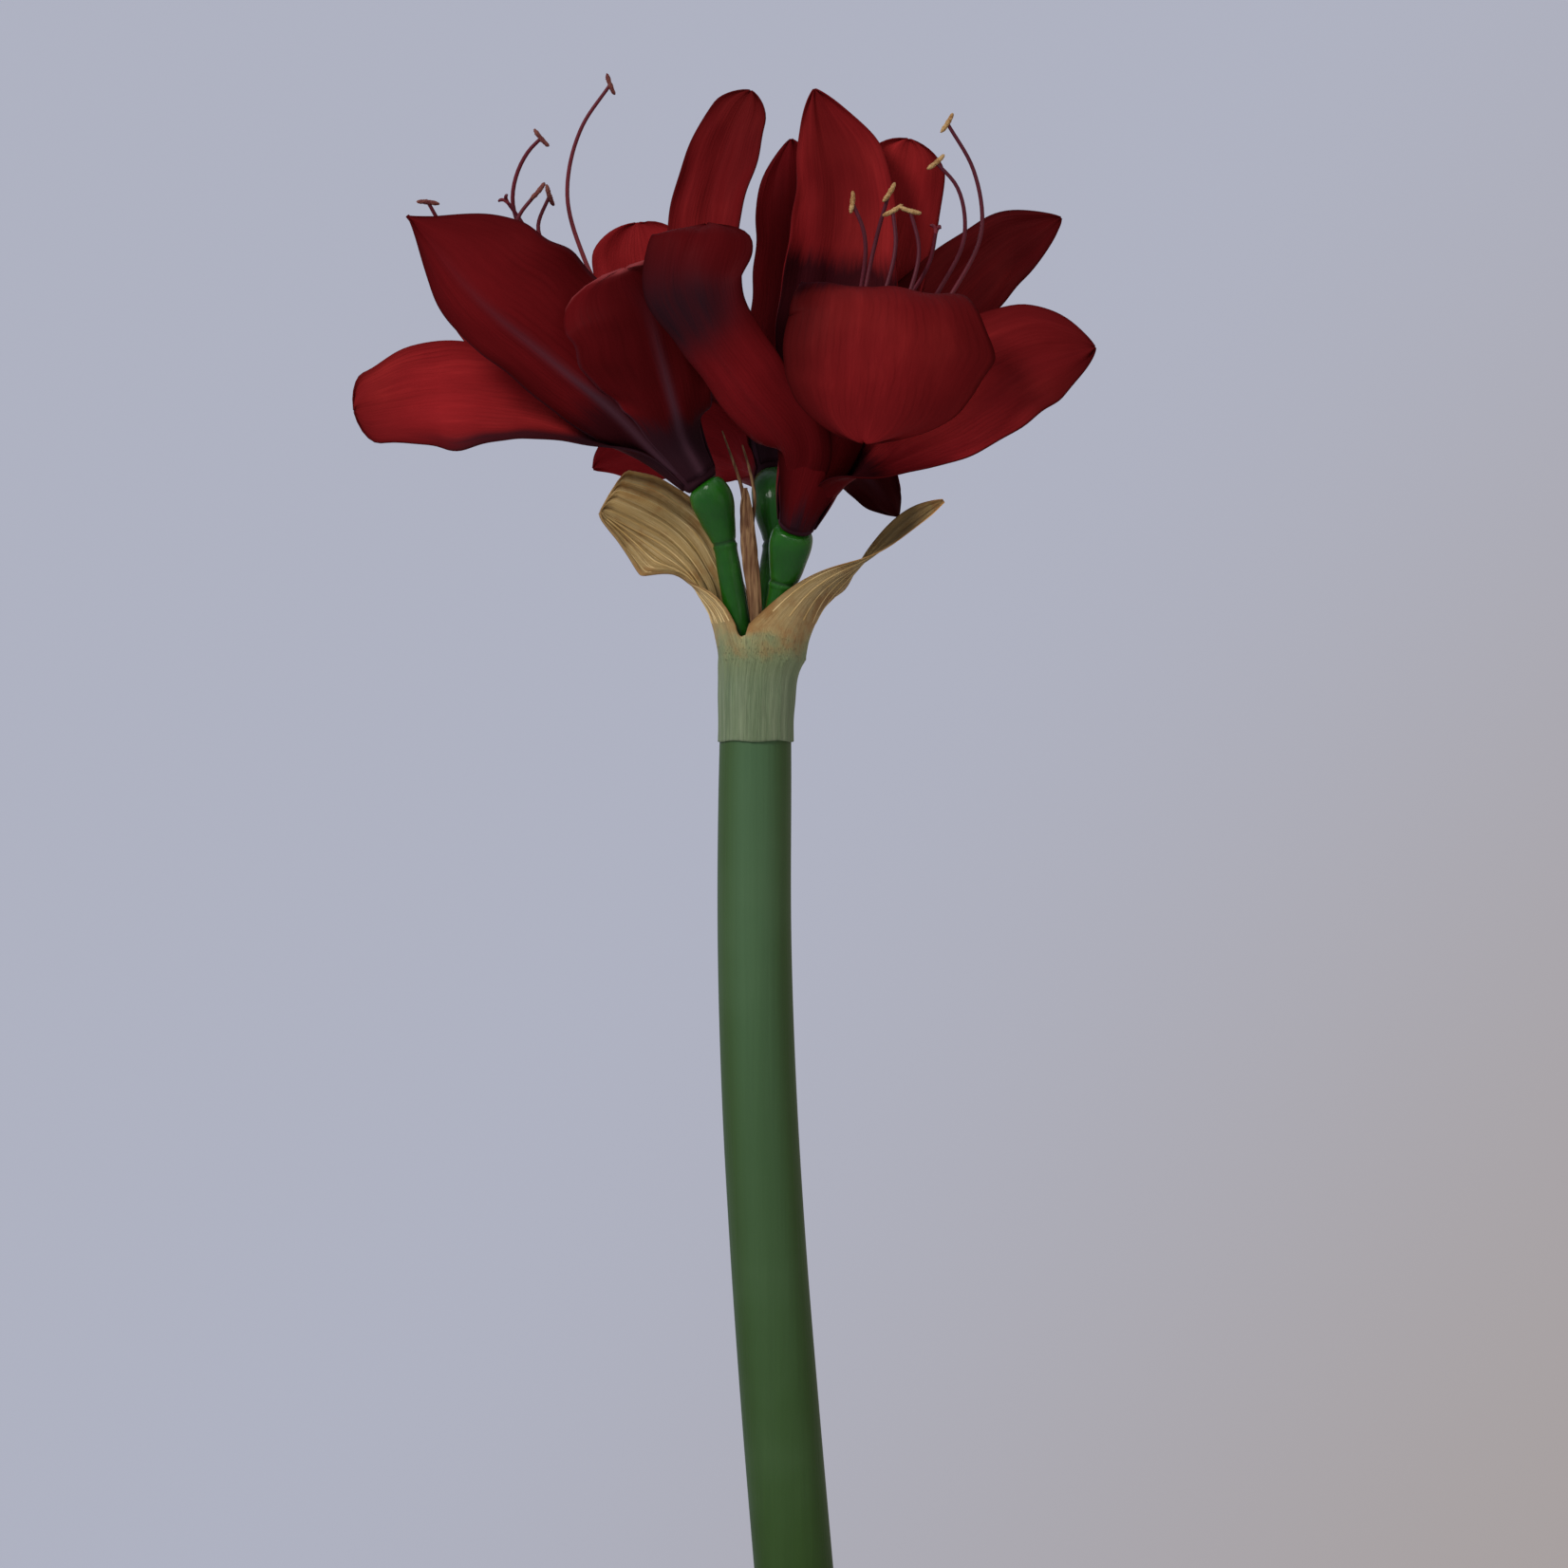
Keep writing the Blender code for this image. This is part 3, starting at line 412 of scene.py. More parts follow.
def blade(stations, step, columns, tip, point, keel=0.0, ruffle=0.0, waves=0.0, pleats=0, crinkle=0.0,
          wobble=0.0, phase=0.0):
    """The sheet's middle surface: points, across (-1 to 1), along (0 to 1) and mm to the margin."""
    length = distances(stations)[-1]
    body = np.linspace(0.0, length - tip, round((length - tip) / step) + 1)
    turns = np.radians(np.linspace(0.0, 86.0, max(3, round(1.6 * tip / step)) + 1))[1:]
    places = np.concatenate((body, length - tip + tip * np.sin(turns)))
    values = through(stations, places)
    middle = values[:, :3]
    tangent = unit(np.gradient(middle, places, axis=0))
    faces = values[:, 3:6]
    faces = unit(faces - tangent * np.sum(faces * tangent, axis=1)[:, None])
    side = np.cross(tangent, faces)
    into_tip = np.clip((places - length + tip) / tip, 0.0, 1.0)
    narrowing = ((1.0 - into_tip**2) ** (0.5 + 0.5 * point))[:, None]
    share = (places / length)[:, None]
    s = np.linspace(-1.0, 1.0, columns)[None, :]
    half = np.where(s > 0, values[:, 7:8], values[:, 6:7]) * narrowing
    uneven = np.sin(21.0 * share + phase + 2.0 * np.sign(s)) + 0.5 * np.sin(43.0 * share + 2.0 * phase)
    half = half * (1.0 + wobble * uneven * np.minimum(1.0, 3.0 * share))
    half = np.maximum(TIP_HALF_WIDTH, half)
    cup = values[:, 8:9]
    cup = np.where(np.abs(cup) > 0.01, cup, 0.01)
    across = half * np.sin(cup * s) / cup
    rise = half * (1.0 - np.cos(cup * s)) / cup
    rise = rise - keel * np.exp(-((across / KEEL_WIDTH) ** 2)) * np.sin(math.pi * share)
    wave = np.sin(2 * math.pi * waves * share + np.where(s > 0, 1.3, 0.0))
    rise = rise + ruffle * wave * np.abs(s) ** 3 * np.minimum(1.0, 3 * share * narrowing)
    rise = rise + PLEAT_DEPTH * np.sin(2 * math.pi * pleats * s) * np.minimum(1.0, 2 * share)
    small = np.sin(17.0 * share + 9.0 * s) + np.sin(31.0 * share - 6.0 * s + 1.0 + phase)
    small = small * np.abs(s) + 1.2 * np.sin(8.0 * s + 4.0 * share + phase)
    rise = rise + crinkle * small * np.minimum(1.0, 3 * share)
    points = middle[:, None] + side[:, None] * across[..., None] + faces[:, None] * rise[..., None]
    to_margin = np.minimum(half * (1.0 - np.abs(s)), np.broadcast_to(length - places[:, None], half.shape))
    return points, np.broadcast_to(s, half.shape), np.broadcast_to(share, half.shape), to_margin


def grid_faces(rows, columns, offset=0, flip=False):
    """Quads over a grid of points, row by row."""
    quads = []
    for i in range(rows - 1):
        for j in range(columns - 1):
            a = offset + i * columns + j
            quad = (a, a + 1, a + columns + 1, a + columns)
            quads.append(quad[::-1] if flip else quad)
    return quads


def sheet_normals(points):
    """The direction that each point of a sheet's inner face looks."""
    along = np.gradient(points, axis=0)
    across = np.gradient(points, axis=1)
    return unit(np.cross(across, along))


def closed_sheet(points, thickness):
    """Both faces of a sheet with closed margins, as points and faces. The inner face comes first."""
    rows, columns = points.shape[:2]
    lift = sheet_normals(points) * (thickness / 2)[..., None]
    inner = (points + lift).reshape(-1, 3)
    outer = (points - lift).reshape(-1, 3)
    count = rows * columns
    faces = grid_faces(rows, columns) + grid_faces(rows, columns, count, flip=True)
    rim = [j for j in range(columns)]
    rim += [i * columns + columns - 1 for i in range(1, rows)]
    rim += [(rows - 1) * columns + j for j in range(columns - 2, -1, -1)]
    rim += [i * columns for i in range(rows - 2, 0, -1)]
    for a, b in zip(rim, rim[1:] + rim[:1]):
        faces.append((b, a, a + count, b + count))
    return np.concatenate((inner, outer)), faces


print("blade rule is ready")

# %% [markdown]
# ## The blooms' stations
#
# The photograph shows three blooms: one to the left, seen from outside, one to the right whose front
# petal folds over towards us, and one behind of which little shows. Each petal's stations were chosen
# by looking at its outline and judging its depth from what covers what.

# %% Stations of the petals
BLOOMS = {
    "left": {
        "base": (-18.8, -6.1, 49.3), "axis": (-0.57, 0.08, 0.82), "turn": 15,
        "tepals": (
            (5, 0.0, 1.2, 2.0, (  # front
                at((-28, -25, 74), (0.10, 0.95, 0.20), 14, 20, 40),
                at((-34, -32, 96), (0.00, 0.95, 0.20), 17, 29, 28),
                at((-38, -34, 111), (0.00, 0.90, 0.35), 17, 31, 20),
                at((-45, -38, 123), (0.00, 0.45, 0.90), 16, 28, 12))),
            (9, 0.2, 1.0, 1.5, (  # upright, on the right
                at((-22, 4, 92), (-0.30, -0.90, 0.20), 12, 12, 35),
                at((-19, 8, 122), (-0.30, -0.95, 0.15), 14, 14, 30),
                at((-16, 10, 148), (-0.25, -0.95, 0.05), 13, 13, 25),
                at((-9, 12, 171), (-0.20, -0.95, 0.05), 12, 12, 22),
                at((-2, 14, 187), (-0.20, -0.95, 0.05), 7, 8, 18))),
            (11, 0.0, 1.4, 2.0, (  # far right
                at((-30, 18, 88), (-0.20, -0.95, 0.20), 15, 15, 40),
                at((-39, 30, 114), (-0.10, -0.95, 0.25), 18, 18, 30),
                at((-42, 36, 142), (-0.05, -0.90, 0.35), 15, 16, 20))),
            (24, 0.3, 1.6, 2.0, (  # far left
                at((-48, 20, 80), (0.30, -0.85, 0.40), 16, 16, 40),
                at((-76, 36, 100), (0.20, -0.85, 0.50), 21, 21, 30),
                at((-108, 44, 118), (0.10, -0.80, 0.60), 18, 18, 20))),
            (6, 0.0, 1.4, 2.5, (  # lower left
                at((-58, -1, 70), (0.35, -0.75, 0.55), 13, 15, 30),
                at((-82, 3, 78), (0.20, -0.85, 0.50), 20, 22, 18),
                at((-108, 4, 80), (0.10, -0.88, 0.45), 21, 21, 10),
                at((-140, 0, 75), (-0.10, -0.90, 0.35), 14, 12, 15))),
            (30, 1.5, 1.8, 2.5, (  # upper left
                at((-48, -16, 73), (0.20, 0.90, 0.10), 22, 14, 42),
                at((-70, -18, 91), (0.10, 0.95, 0.00), 33, 14, 34),
                at((-94, -20, 111), (0.10, 0.95, 0.00), 33, 14, 30),
                at((-121, -16, 142), (0.10, 0.95, 0.00), 24, 6, 20))),
        ),
    },
    "right": {
        "base": (13.4, -13.4, 33.6), "axis": (0.24, -0.38, 0.85), "turn": 0,
        "tepals": (
            (11, 0.0, 1.2, 2.0, (  # front, folded over towards the viewer
                at((24, -36, 68), (-0.10, 0.95, 0.35), 18, 18, 45),
                at((34, -43, 94), (-0.05, 0.90, 0.40), 22, 22, 24),
                at((41, -53, 116), (0.00, 0.25, 1.00), 29, 27, -14),
                at((42, -64, 110), (0.05, -0.75, 0.65), 37, 32, -24),
                at((41, -69, 96), (0.05, -0.98, 0.20), 42, 33, -32),
                at((40, -69, 81), (0.05, -0.98, -0.15), 39, 31, -34),
                at((37, -59, 62), (0.05, -0.85, -0.50), 28, 22, -28))),
            (20, 0.5, 1.4, 2.0, (  # right
                at((46, -30, 61), (-0.15, -0.80, 0.60), 14, 15, 25),
                at((70, -32, 76), (-0.10, -0.85, 0.50), 26, 23, 15),
                at((96, -30, 92), (-0.10, -0.88, 0.45), 23, 19, 12),
                at((117, -24, 96), (0.10, -0.90, 0.35), 16, 12, 10))),
            (24, 0.5, 1.4, 2.0, (  # upper right
                at((40, -8, 82), (-0.35, -0.80, 0.45), 15, 15, 40),
                at((62, 0, 106), (-0.30, -0.85, 0.45), 19, 19, 28),
                at((84, 4, 128), (-0.25, -0.85, 0.45), 17, 15, 20),
                at((106, 2, 142), (-0.20, -0.85, 0.45), 12, 12, 10))),
            (10, 0.0, 1.4, 2.0, (  # back
                at((32, 4, 90), (-0.10, -0.95, 0.20), 15, 15, 45),
                at((42, 12, 124), (-0.05, -0.98, 0.15), 18, 18, 30),
                at((49, 13, 150), (0.00, -0.98, 0.15), 16, 16, 20),
                at((53, 10, 170), (0.00, -0.90, 0.40), 13, 13, 15))),
            (26, 0.6, 1.2, 2.0, (  # upper left
                at((18, -8, 84), (0.30, -0.90, 0.25), 15, 15, 45),
                at((24, -1, 116), (0.10, -0.98, 0.15), 17, 24, 30),
                at((28, 2, 146), (0.00, -0.98, 0.10), 15, 21, 22),
                at((20, 2, 187), (0.00, -0.98, 0.10), 9, 12, 15))),
            (7, 0.0, 1.2, 2.0, (  # left
                at((13, -34, 58), (0.40, 0.85, 0.30), 13, 13, 44),
                at((-3, -45, 83), (0.35, 0.90, 0.20), 15, 16, 34),
                at((-16, -51, 101), (0.30, 0.95, 0.15), 15, 15, 30),
                at((-22, -51, 119), (0.20, 0.97, 0.05), 18, 19, 26),
                at((-19, -47, 134), (0.10, 0.90, -0.40), 18, 17, 18),
                at((-17, -39, 138), (0.10, 0.10, -1.00), 15, 15, 10))),
        ),
    },
    "back": {
        "base": (6.2, 17.6, 51.2), "axis": (0.05, 0.80, 0.50), "turn": 0,
        "tepals": (
            (24, 0.4, 1.4, 2.0, (  # upright
                at((10, 34, 86), (0.00, 0.95, 0.10), 17, 17, 45),
                at((14, 42, 116), (0.00, 1.00, 0.00), 16, 16, 30),
                at((14, 44, 146), (0.00, 1.00, 0.00), 15, 15, 25),
                at((12, 46, 172), (0.00, 0.95, 0.20), 11, 11, 20))),
            (26, 0.5, 1.6, 2.0, (  # upper right
                at((30, 42, 76), (-0.40, 0.90, 0.10), 19, 19, 42),
                at((48, 62, 96), (-0.40, 0.90, -0.10), 23, 23, 28),
                at((68, 82, 110), (-0.30, 0.90, -0.30), 16, 16, 15))),
            (22, 0.5, 1.6, 2.0, (  # lower right
                at((24, 38, 60), (-0.40, 0.80, 0.40), 13, 13, 42),
                at((36, 58, 56), (-0.30, 0.90, 0.60), 11, 11, 28),
                at((50, 80, 40), (-0.10, 0.80, 0.70), 7, 7, 15))),
            (24, 0.4, 1.6, 2.0, (  # bottom
                at((8, 46, 50), (0.00, 0.20, 1.00), 17, 17, 42),
                at((8, 74, 50), (0.00, 0.10, 1.00), 22, 22, 28),
                at((6, 104, 56), (0.00, 0.00, 1.00), 18, 18, 15))),
            (22, 0.5, 1.6, 2.0, (  # lower left
                at((-12, 40, 62), (0.50, 0.80, 0.30), 14, 14, 42),
                at((-32, 58, 66), (0.40, 0.80, 0.50), 16, 16, 28),
                at((-58, 72, 57), (0.30, 0.80, 0.60), 11, 11, 15))),
            (26, 0.5, 1.6, 2.0, (  # upper left
                at((-8, 44, 80), (0.40, 0.90, 0.10), 18, 18, 42),
                at((-22, 66, 100), (0.40, 0.90, -0.10), 22, 22, 28),
                at((-36, 88, 112), (0.30, 0.90, -0.30), 16, 16, 15))),
        ),
    },
}

print("petals:", sum(len(bloom["tepals"]) for bloom in BLOOMS.values()))

# %% [markdown]
# ## Where each petal is dark, and the light and shade painted on it
#
# The petals are not one red. Inner faces are the brightest, outer faces are plum, and the throat is
# nearly black with a streaky end. Each petal here has four levels of brightness from its base to its
# tip for its inner face and four for its outer face; they mostly paint in the light and shade that
# each petal catches. Then come how far up the throat's dark reaches on each face, and where along the
# outer face a painted slate sheen lies, if any. A few petals also get painted shade towards their left
# and right margins, and two get painted light there, one so that it runs into its neighbour.

# %% Painted light and tones of the petals
EVEN = (0.8, 0.8, 0.8, 0.8)
LOOKS = {
    "left": (
        (EVEN, (0.46, 0.37, 0.36, 0.48), 0.20, 0.28, None),
        ((0.70, 0.76, 0.58, 0.40), EVEN, 0.26, 0.20, None),
        ((1.00, 1.00, 1.05, 1.05), EVEN, 0.22, 0.20, None),
        ((0.70, 0.70, 0.75, 0.75), EVEN, 0.22, 0.20, None),
        ((0.55, 0.85, 1.25, 0.70), EVEN, 0.34, 0.22, None),
        (EVEN, (0.62, 0.72, 0.86, 0.72), 0.22, 0.33, None),
    ),
    "right": (
        ((0.60, 0.36, 0.66, 0.90), (0.60, 0.70, 0.75, 0.75), 0.60, 0.02, None),
        ((0.70, 2.10, 0.68, 0.42), (0.60, 0.70, 0.75, 0.75), 0.30, 0.02, None),
        ((0.36, 0.32, 0.26, 0.26), EVEN, 0.48, 0.05, None),
        ((0.90, 1.10, 1.15, 1.00), EVEN, 0.46, 0.05, None),
        ((0.70, 0.80, 0.60, 0.50), EVEN, 0.61, 0.05, None),
        (EVEN, (0.50, 1.20, 0.64, 0.50), 0.20, 0.00, 0.72),
    ),
    "back": (
        (EVEN, (0.70, 0.70, 0.70, 0.80), 0.30, 0.15, None),
        (EVEN, EVEN, 0.30, 0.20, None),
        (EVEN, (0.18, 0.16, 0.16, 0.16), 0.30, 0.60, None),
        (EVEN, EVEN, 0.30, 0.20, None),
        (EVEN, (1.40, 1.40, 1.50, 1.50), 0.20, 0.05, None),
        (EVEN, EVEN, 0.30, 0.20, None),
    ),
}
# Painted shade towards a petal's two margins, as (left, right) seen on its inner face with the tip up; a negative
# value paints light there instead.
PAINTED_EDGE_SHADE_AND_LIGHT = {
    ("left", 0): (0.0, -0.55),
    ("left", 4): (0.35, 0.10),
    ("left", 5): (0.30, 0.25),
    ("right", 0): (0.30, 0.65),
    ("right", 1): (0.10, 0.35),
    ("right", 3): (0.00, 0.40),
    ("right", 4): (-0.40, -0.50),
    ("right", 5): (0.30, 0.15),
}
TUBE_DARKNESS = {"left": 0.80, "right": 0.90, "back": 0.80}
print("tones are set")

# %% [markdown]
# ## Petal finish
#
# Close up, a petal is velvet: fine cells catch the light at grazing angles, parallel veins run from
# the base and close in towards the tip, and the margin is a thin darker line. The mesh stores where a
# point is across and along its petal, so the veins follow every bend. Long thin noise makes streaks,
# and the same streaks break up the end of the throat's dark. Some colour is painted light: stored
# levels of light and shade, a slate sheen on one outer face and on the bases left of the vase's axis,
# a pale highlight on one lip, and a painted shade strip along one rolled margin.

# %% Petal material
PETAL_RED = (0.235, 0.0118, 0.0135)
PETAL_GLOW = (0.345, 0.0230, 0.0215)
PETAL_PLUM = (0.145, 0.0062, 0.0078)
# Painted highlight: a pale red for the lit lip at the top of the left bloom's front petal.
PAINTED_LIP_HIGHLIGHT = (0.300, 0.0500, 0.0520)
# Painted sheen: a dark slate that stands for a grazing sheen on one petal's outer face; it also paints the shade of
# a rolled margin.
PAINTED_SHEEN_AND_SHADE_SLATE = (0.020, 0.0062, 0.0090)
THROAT_DARK = (0.019, 0.0030, 0.0050)
BASE_DARK = (0.028, 0.0032, 0.0046)
BASE_PLUM = (0.030, 0.0034, 0.0062)
# Painted sheen: slate grey for the petals' bases left of the vase's axis, where a grazing sheen shows.
BASE_PAINTED_SHEEN = (0.021, 0.0085, 0.0125)
RIDGE_GREY = (0.075, 0.0300, 0.0420)
VEINS_ACROSS = 13.0


def petal_finish():
    material, tree, shader = finish("petal_velvet", Roughness=0.6, Sheen_Weight=0.03, Sheen_Roughness=0.4,
                                    Sheen_Tint=(0.9, 0.1, 0.1, 1.0), Specular_IOR_Level=0.012)
    across, along, number = tree.split(tree.stored("leaf"))
    inner, margin, dark = tree.split(tree.stored("tint"))
    painted_light, midrib, grey = tree.split(tree.stored("painted_light"))
    x, _, _ = tree.split(tree.place())
    streaks = tree.noise(tree.vector(across * 7.0, along * 0.6, number * 7.3), 1.0, 5.0, 0.62)
    wander = tree.noise(tree.vector(across * 2.0, along * 0.7, number * 3.1), 1.0, 3.0)
    vein_wave = (across * (VEINS_ACROSS * math.pi) + wander * 9.0).sine()
    vein = (vein_wave * vein_wave).step(0.60, 1.0) * wander.step(0.35, 0.65)
    clouds = tree.noise(tree.place(), 28.0, 3.0)
    cells = tree.noise(tree.place(), 1500.0, 2.0)
    glow = clouds.step(0.42, 0.72) * 0.5 + streaks.step(0.5, 0.8) * 0.3
    face_red = tree.mix(glow, PETAL_RED, PETAL_GLOW)
    colour = tree.mix(inner, PETAL_PLUM, face_red)
    # Painted light and shade: the stored levels brighten or darken each face.
    colour = tree.shade(colour, painted_light * (0.72 + streaks * 0.56) * (1.0 - vein * 0.10))
    mask = (dark + (streaks - 0.5) * 0.45).step(0.34, 0.66)
    # Painted sheen: left of the vase's axis the petals' base turns slate grey; right of it, plum.
    foot = tree.mix(x.step(0.004, -0.004), BASE_PLUM, BASE_PAINTED_SHEEN)
    base = tree.mix(along.step(0.5, 1.7), foot, BASE_DARK)
    colour = tree.mix(mask * 0.92, colour, tree.mix(inner, base, THROAT_DARK))
    colour = tree.mix(midrib * 0.62, colour, RIDGE_GREY)
    # Painted sheen: the slate band on an outer face. On an inner face the same channel paints the shade of a rolled
    # margin.
    colour = tree.mix(grey.step(0.0, 1.0) * (0.5 + streaks * 0.8), colour, PAINTED_SHEEN_AND_SHADE_SLATE)
    # Painted highlight: the pale lip along one petal's top rim.
    colour = tree.mix(grey.step(0.0, -1.0) * 0.8, colour, PAINTED_LIP_HIGHLIGHT)
    colour = tree.shade(colour, 1.0 - margin * 0.35)
    tree.feed(shader.inputs["Base Color"], colour)
    tree.feed(shader.inputs["Roughness"], 0.62 - streaks * 0.16 - vein * 0.06)
    raise_surface(tree, shader, vein * 0.12 + streaks * 0.9 + cells * 0.06, 0.0004)
    return material


petal_velvet = petal_finish()
print("petal veins across:", VEINS_ACROSS)

# %% [markdown]
# ## Petals
#
# Each bloom is one piece of six closed sheets that root in a short tube on the ovary, as on the real
# flower, where all six are one skin at the base. A sheet is 1 mm thick at the midrib's foot and half
# of that at the margin. The points are worked out with arrays, which is quicker than one at a time.

# %% Petal geometry
OUTER_ROOT = 6.7
INNER_ROOT = 5.3
THROAT_HEIGHT = 14.0
THROAT_FLARE = 3.8
LEVELS_AT = (0.2, 0.5, 0.75, 1.0)
# The lower-left petal of the left bloom gets a painted shade strip along its lower margin, which the mesh does not
# roll.
PAINTED_ROLL_PETAL = ("left", 4)
HIGHLIGHTED_LIP_PETAL = ("left", 0)
PETAL_STEP = 1.9
PETAL_COLUMNS = 39


def axis_frame(bloom):
    """A bloom's axis and its sides: towards the viewer and, from there, to the right."""
    axis = unit(bloom["axis"])
    viewer = np.array((0.0, -1.0, 0.0))
    near = unit(viewer - axis * np.dot(viewer, axis))
    return axis, near, np.cross(axis, near)


def outwards(bloom, degrees):
    """The direction away from the bloom's axis at an angle round it from its turn."""
    _, near, right = axis_frame(bloom)
    turn = math.radians(bloom["turn"] + degrees)
    return near * math.cos(turn) + right * math.sin(turn)


def petal_stations(bloom, index):
    """A petal's stations with its root in the tube and its throat put before them."""
    axis, _, _ = axis_frame(bloom)
    out = outwards(bloom, 60 * index)
    base = np.array(bloom["base"])
    root = OUTER_ROOT if index % 2 == 0 else INNER_ROOT
    throat = root + THROAT_FLARE
    inward = tuple(-out)
    return (
        at(tuple(base + axis * 2.0 + out * root), inward, root * 0.9, root * 0.9, 52),
        at(tuple(base + axis * THROAT_HEIGHT + out * throat), inward, throat * 0.9, throat * 0.9, 52),
        *bloom["tepals"][index][4],
    )


def petal(side, index, look):
    """One petal's points, faces and the three vectors that its material reads."""
    bloom = BLOOMS[side]
    tip, point, ruffle, waves, _ = bloom["tepals"][index]
    stations = petal_stations(bloom, index)
    sheet, across, along, to_margin = blade(stations, PETAL_STEP, PETAL_COLUMNS, tip, point, KEEL, ruffle,
                                            waves, crinkle=0.35, wobble=0.028, phase=1.9 * index)
    half = np.abs(to_margin) / np.maximum(0.02, 1.0 - np.abs(across))
    off_midrib = np.abs(across) * half
    thickness = 0.45 + 0.55 * np.exp(-((off_midrib / 4.0) ** 2)) * (1.0 - along)
    points, faces = closed_sheet(sheet, thickness)
    painted_light_levels_in, painted_light_levels_out, reach_in, reach_out, painted_sheen_at = look
    # Painted light and shade: each face's brightness steps from base to tip by the petal's levels.
    painted_light_in = np.interp(along, LEVELS_AT, painted_light_levels_in)
    painted_light_out = np.interp(along, LEVELS_AT, painted_light_levels_out)
    length = distances(stations)[-1]
    margin = np.exp(-np.maximum(to_margin, 0.0) / 0.9)
    midrib = np.exp(-((off_midrib / 1.5) ** 2))
    number = np.full(across.shape, float(index))
    leaf = np.stack((across, along * length / 20.0, number), axis=-1)
    dark_in = 0.5 + (reach_in - along) / 0.22
    dark_out = 0.5 + (reach_out - along + 0.06 * midrib) / 0.40
    one, none = np.ones(across.shape), np.zeros(across.shape)
    painted_sheen_and_lip, painted_roll_shade = none, none
    # Painted sheen: a slate band across part of the outer face, at the share given in the petal's look.
    if painted_sheen_at:
        painted_sheen_and_lip = np.exp(-(((along - painted_sheen_at) / 0.12) ** 2)) * soft(-1.6, 0.2, across)
    # Painted shade towards the margins; a negative value paints light there.
    shade = PAINTED_EDGE_SHADE_AND_LIGHT.get((side, index))
    if shade:
        edge_shade_paint = soft(0.2, 1.0, across) * shade[1] + soft(-0.2, -1.0, across) * shade[0]
        painted_light_in, painted_light_out = painted_light_in * (1.0 - edge_shade_paint), painted_light_out * (1.0 - edge_shade_paint)
    # Painted shade: a dark strip along the lower margin stands for a rolled edge; the sheet itself is not rolled.
    if (side, index) == PAINTED_ROLL_PETAL:
        painted_roll_shade = 0.8 * soft(9.0, 3.0, to_margin) * soft(0.05, -0.3, across) * soft(1.0, 0.6, along)
    # Painted highlight: a pale line along the top rim of this petal, in place of its darker margin.
    if (side, index) == HIGHLIGHTED_LIP_PETAL:
        margin = none
        painted_sheen_and_lip = -np.exp(-((np.maximum(to_margin, 0.0) / 1.2) ** 2)) * soft(0.91, 0.97, along)
    tint = [np.stack((one, margin, dark_in), axis=-1), np.stack((none, margin, dark_out), axis=-1)]
    ridge = midrib * soft(0.98, 0.25, along) * soft(0.1, 0.25, reach_out)
    painted_light = [np.stack((painted_light_in, none, painted_roll_shade), axis=-1),
            np.stack((painted_light_out, ridge, painted_sheen_and_lip), axis=-1)]
    flat = [np.concatenate([face.reshape(-1, 3) for face in faces_of])
            for faces_of in ((leaf, leaf), tint, painted_light)]
    return points, faces, flat


def tube(bloom, darkness):
    """The short tube at the bloom's base that the six petals grow from."""
    axis, near, right = axis_frame(bloom)
    profile = ((0.0, 0.0), (5.6, 0.0), (6.3, 1.0), (7.0, 4.0), (7.6, 7.2), (6.6, 7.4), (5.6, 6.6), (0.0, 6.4))
    sides = 48
    points = []
    for radius, height in profile:
        for k in range(sides):
            turn = 2 * math.pi * k / sides
            out = near * math.cos(turn) + right * math.sin(turn)
            points.append(np.array(bloom["base"]) + axis * height + out * max(radius, 0.01))
    faces = []
    for i in range(len(profile) - 1):
        for k in range(sides):
            j = (k + 1) % sides
            faces.append((i * sides + k, i * sides + j, (i + 1) * sides + j, (i + 1) * sides + k))
    count = len(points)
    steady = np.tile((0.3, 0.3, 9.0), (count, 1))
    tint = np.tile((0.0, 0.0, darkness), (count, 1))
    painted_light = np.tile((0.8, 0.3, 0.0), (count, 1))
    return np.array(points), faces, [steady, tint, painted_light]


def make_petals(side):
    bloom = BLOOMS[side]
    parts = [tube(bloom, TUBE_DARKNESS[side])] + [
        petal(side, index, LOOKS[side][index]) for index in range(6)]
    points, faces, stored = [], [], [[], [], []]
    for part_points, part_faces, part_stored in parts:
        shift = sum(len(p) for p in points)
        points.append(part_points)
        faces += [tuple(v + shift for v in face) for face in part_faces]
        for gathered, values in zip(stored, part_stored):
            gathered.append(values)
    leaf, tint, painted_light = (np.concatenate(values) for values in stored)
    return piece(side + "_petals", world(np.concatenate(points)), faces, petal_velvet,
                 "tepals_" + side, {"leaf": leaf, "tint": tint, "painted_light": painted_light})


for side in BLOOMS:
    make_petals(side)

# %% [markdown]
# ## A tree that sweeps a round bar along a line
#
# The stem, the stamens, the styles and the sheath's ribs are all round bars that follow a line and
# change their thickness on the way. One geometry tree serves them all: the lines come in as a mesh of
# edges that stores a radius at each point, turn into curves, get a round section and become a mesh.
# The number of sides and a thickness factor are named inputs, so that each use can set its own.

# %% Sweep tree
def new_geometry_tree(name, inputs):
    """An empty geometry tree with a geometry input, named inputs and a geometry output."""
    group = bpy.data.node_groups.new(name, "GeometryNodeTree")
    group.interface.new_socket("Geometry", in_out="INPUT", socket_type="NodeSocketGeometry")
    for label, kind, value in inputs:
        socket = group.interface.new_socket(label, in_out="INPUT", socket_type=kind)
        if value is not None:
            socket.default_value = value
    group.interface.new_socket("Geometry", in_out="OUTPUT", socket_type="NodeSocketGeometry")
    tree = Tree(group)
    start = tree.node("NodeGroupInput", None, None, "Geometry")
    return group, tree, start


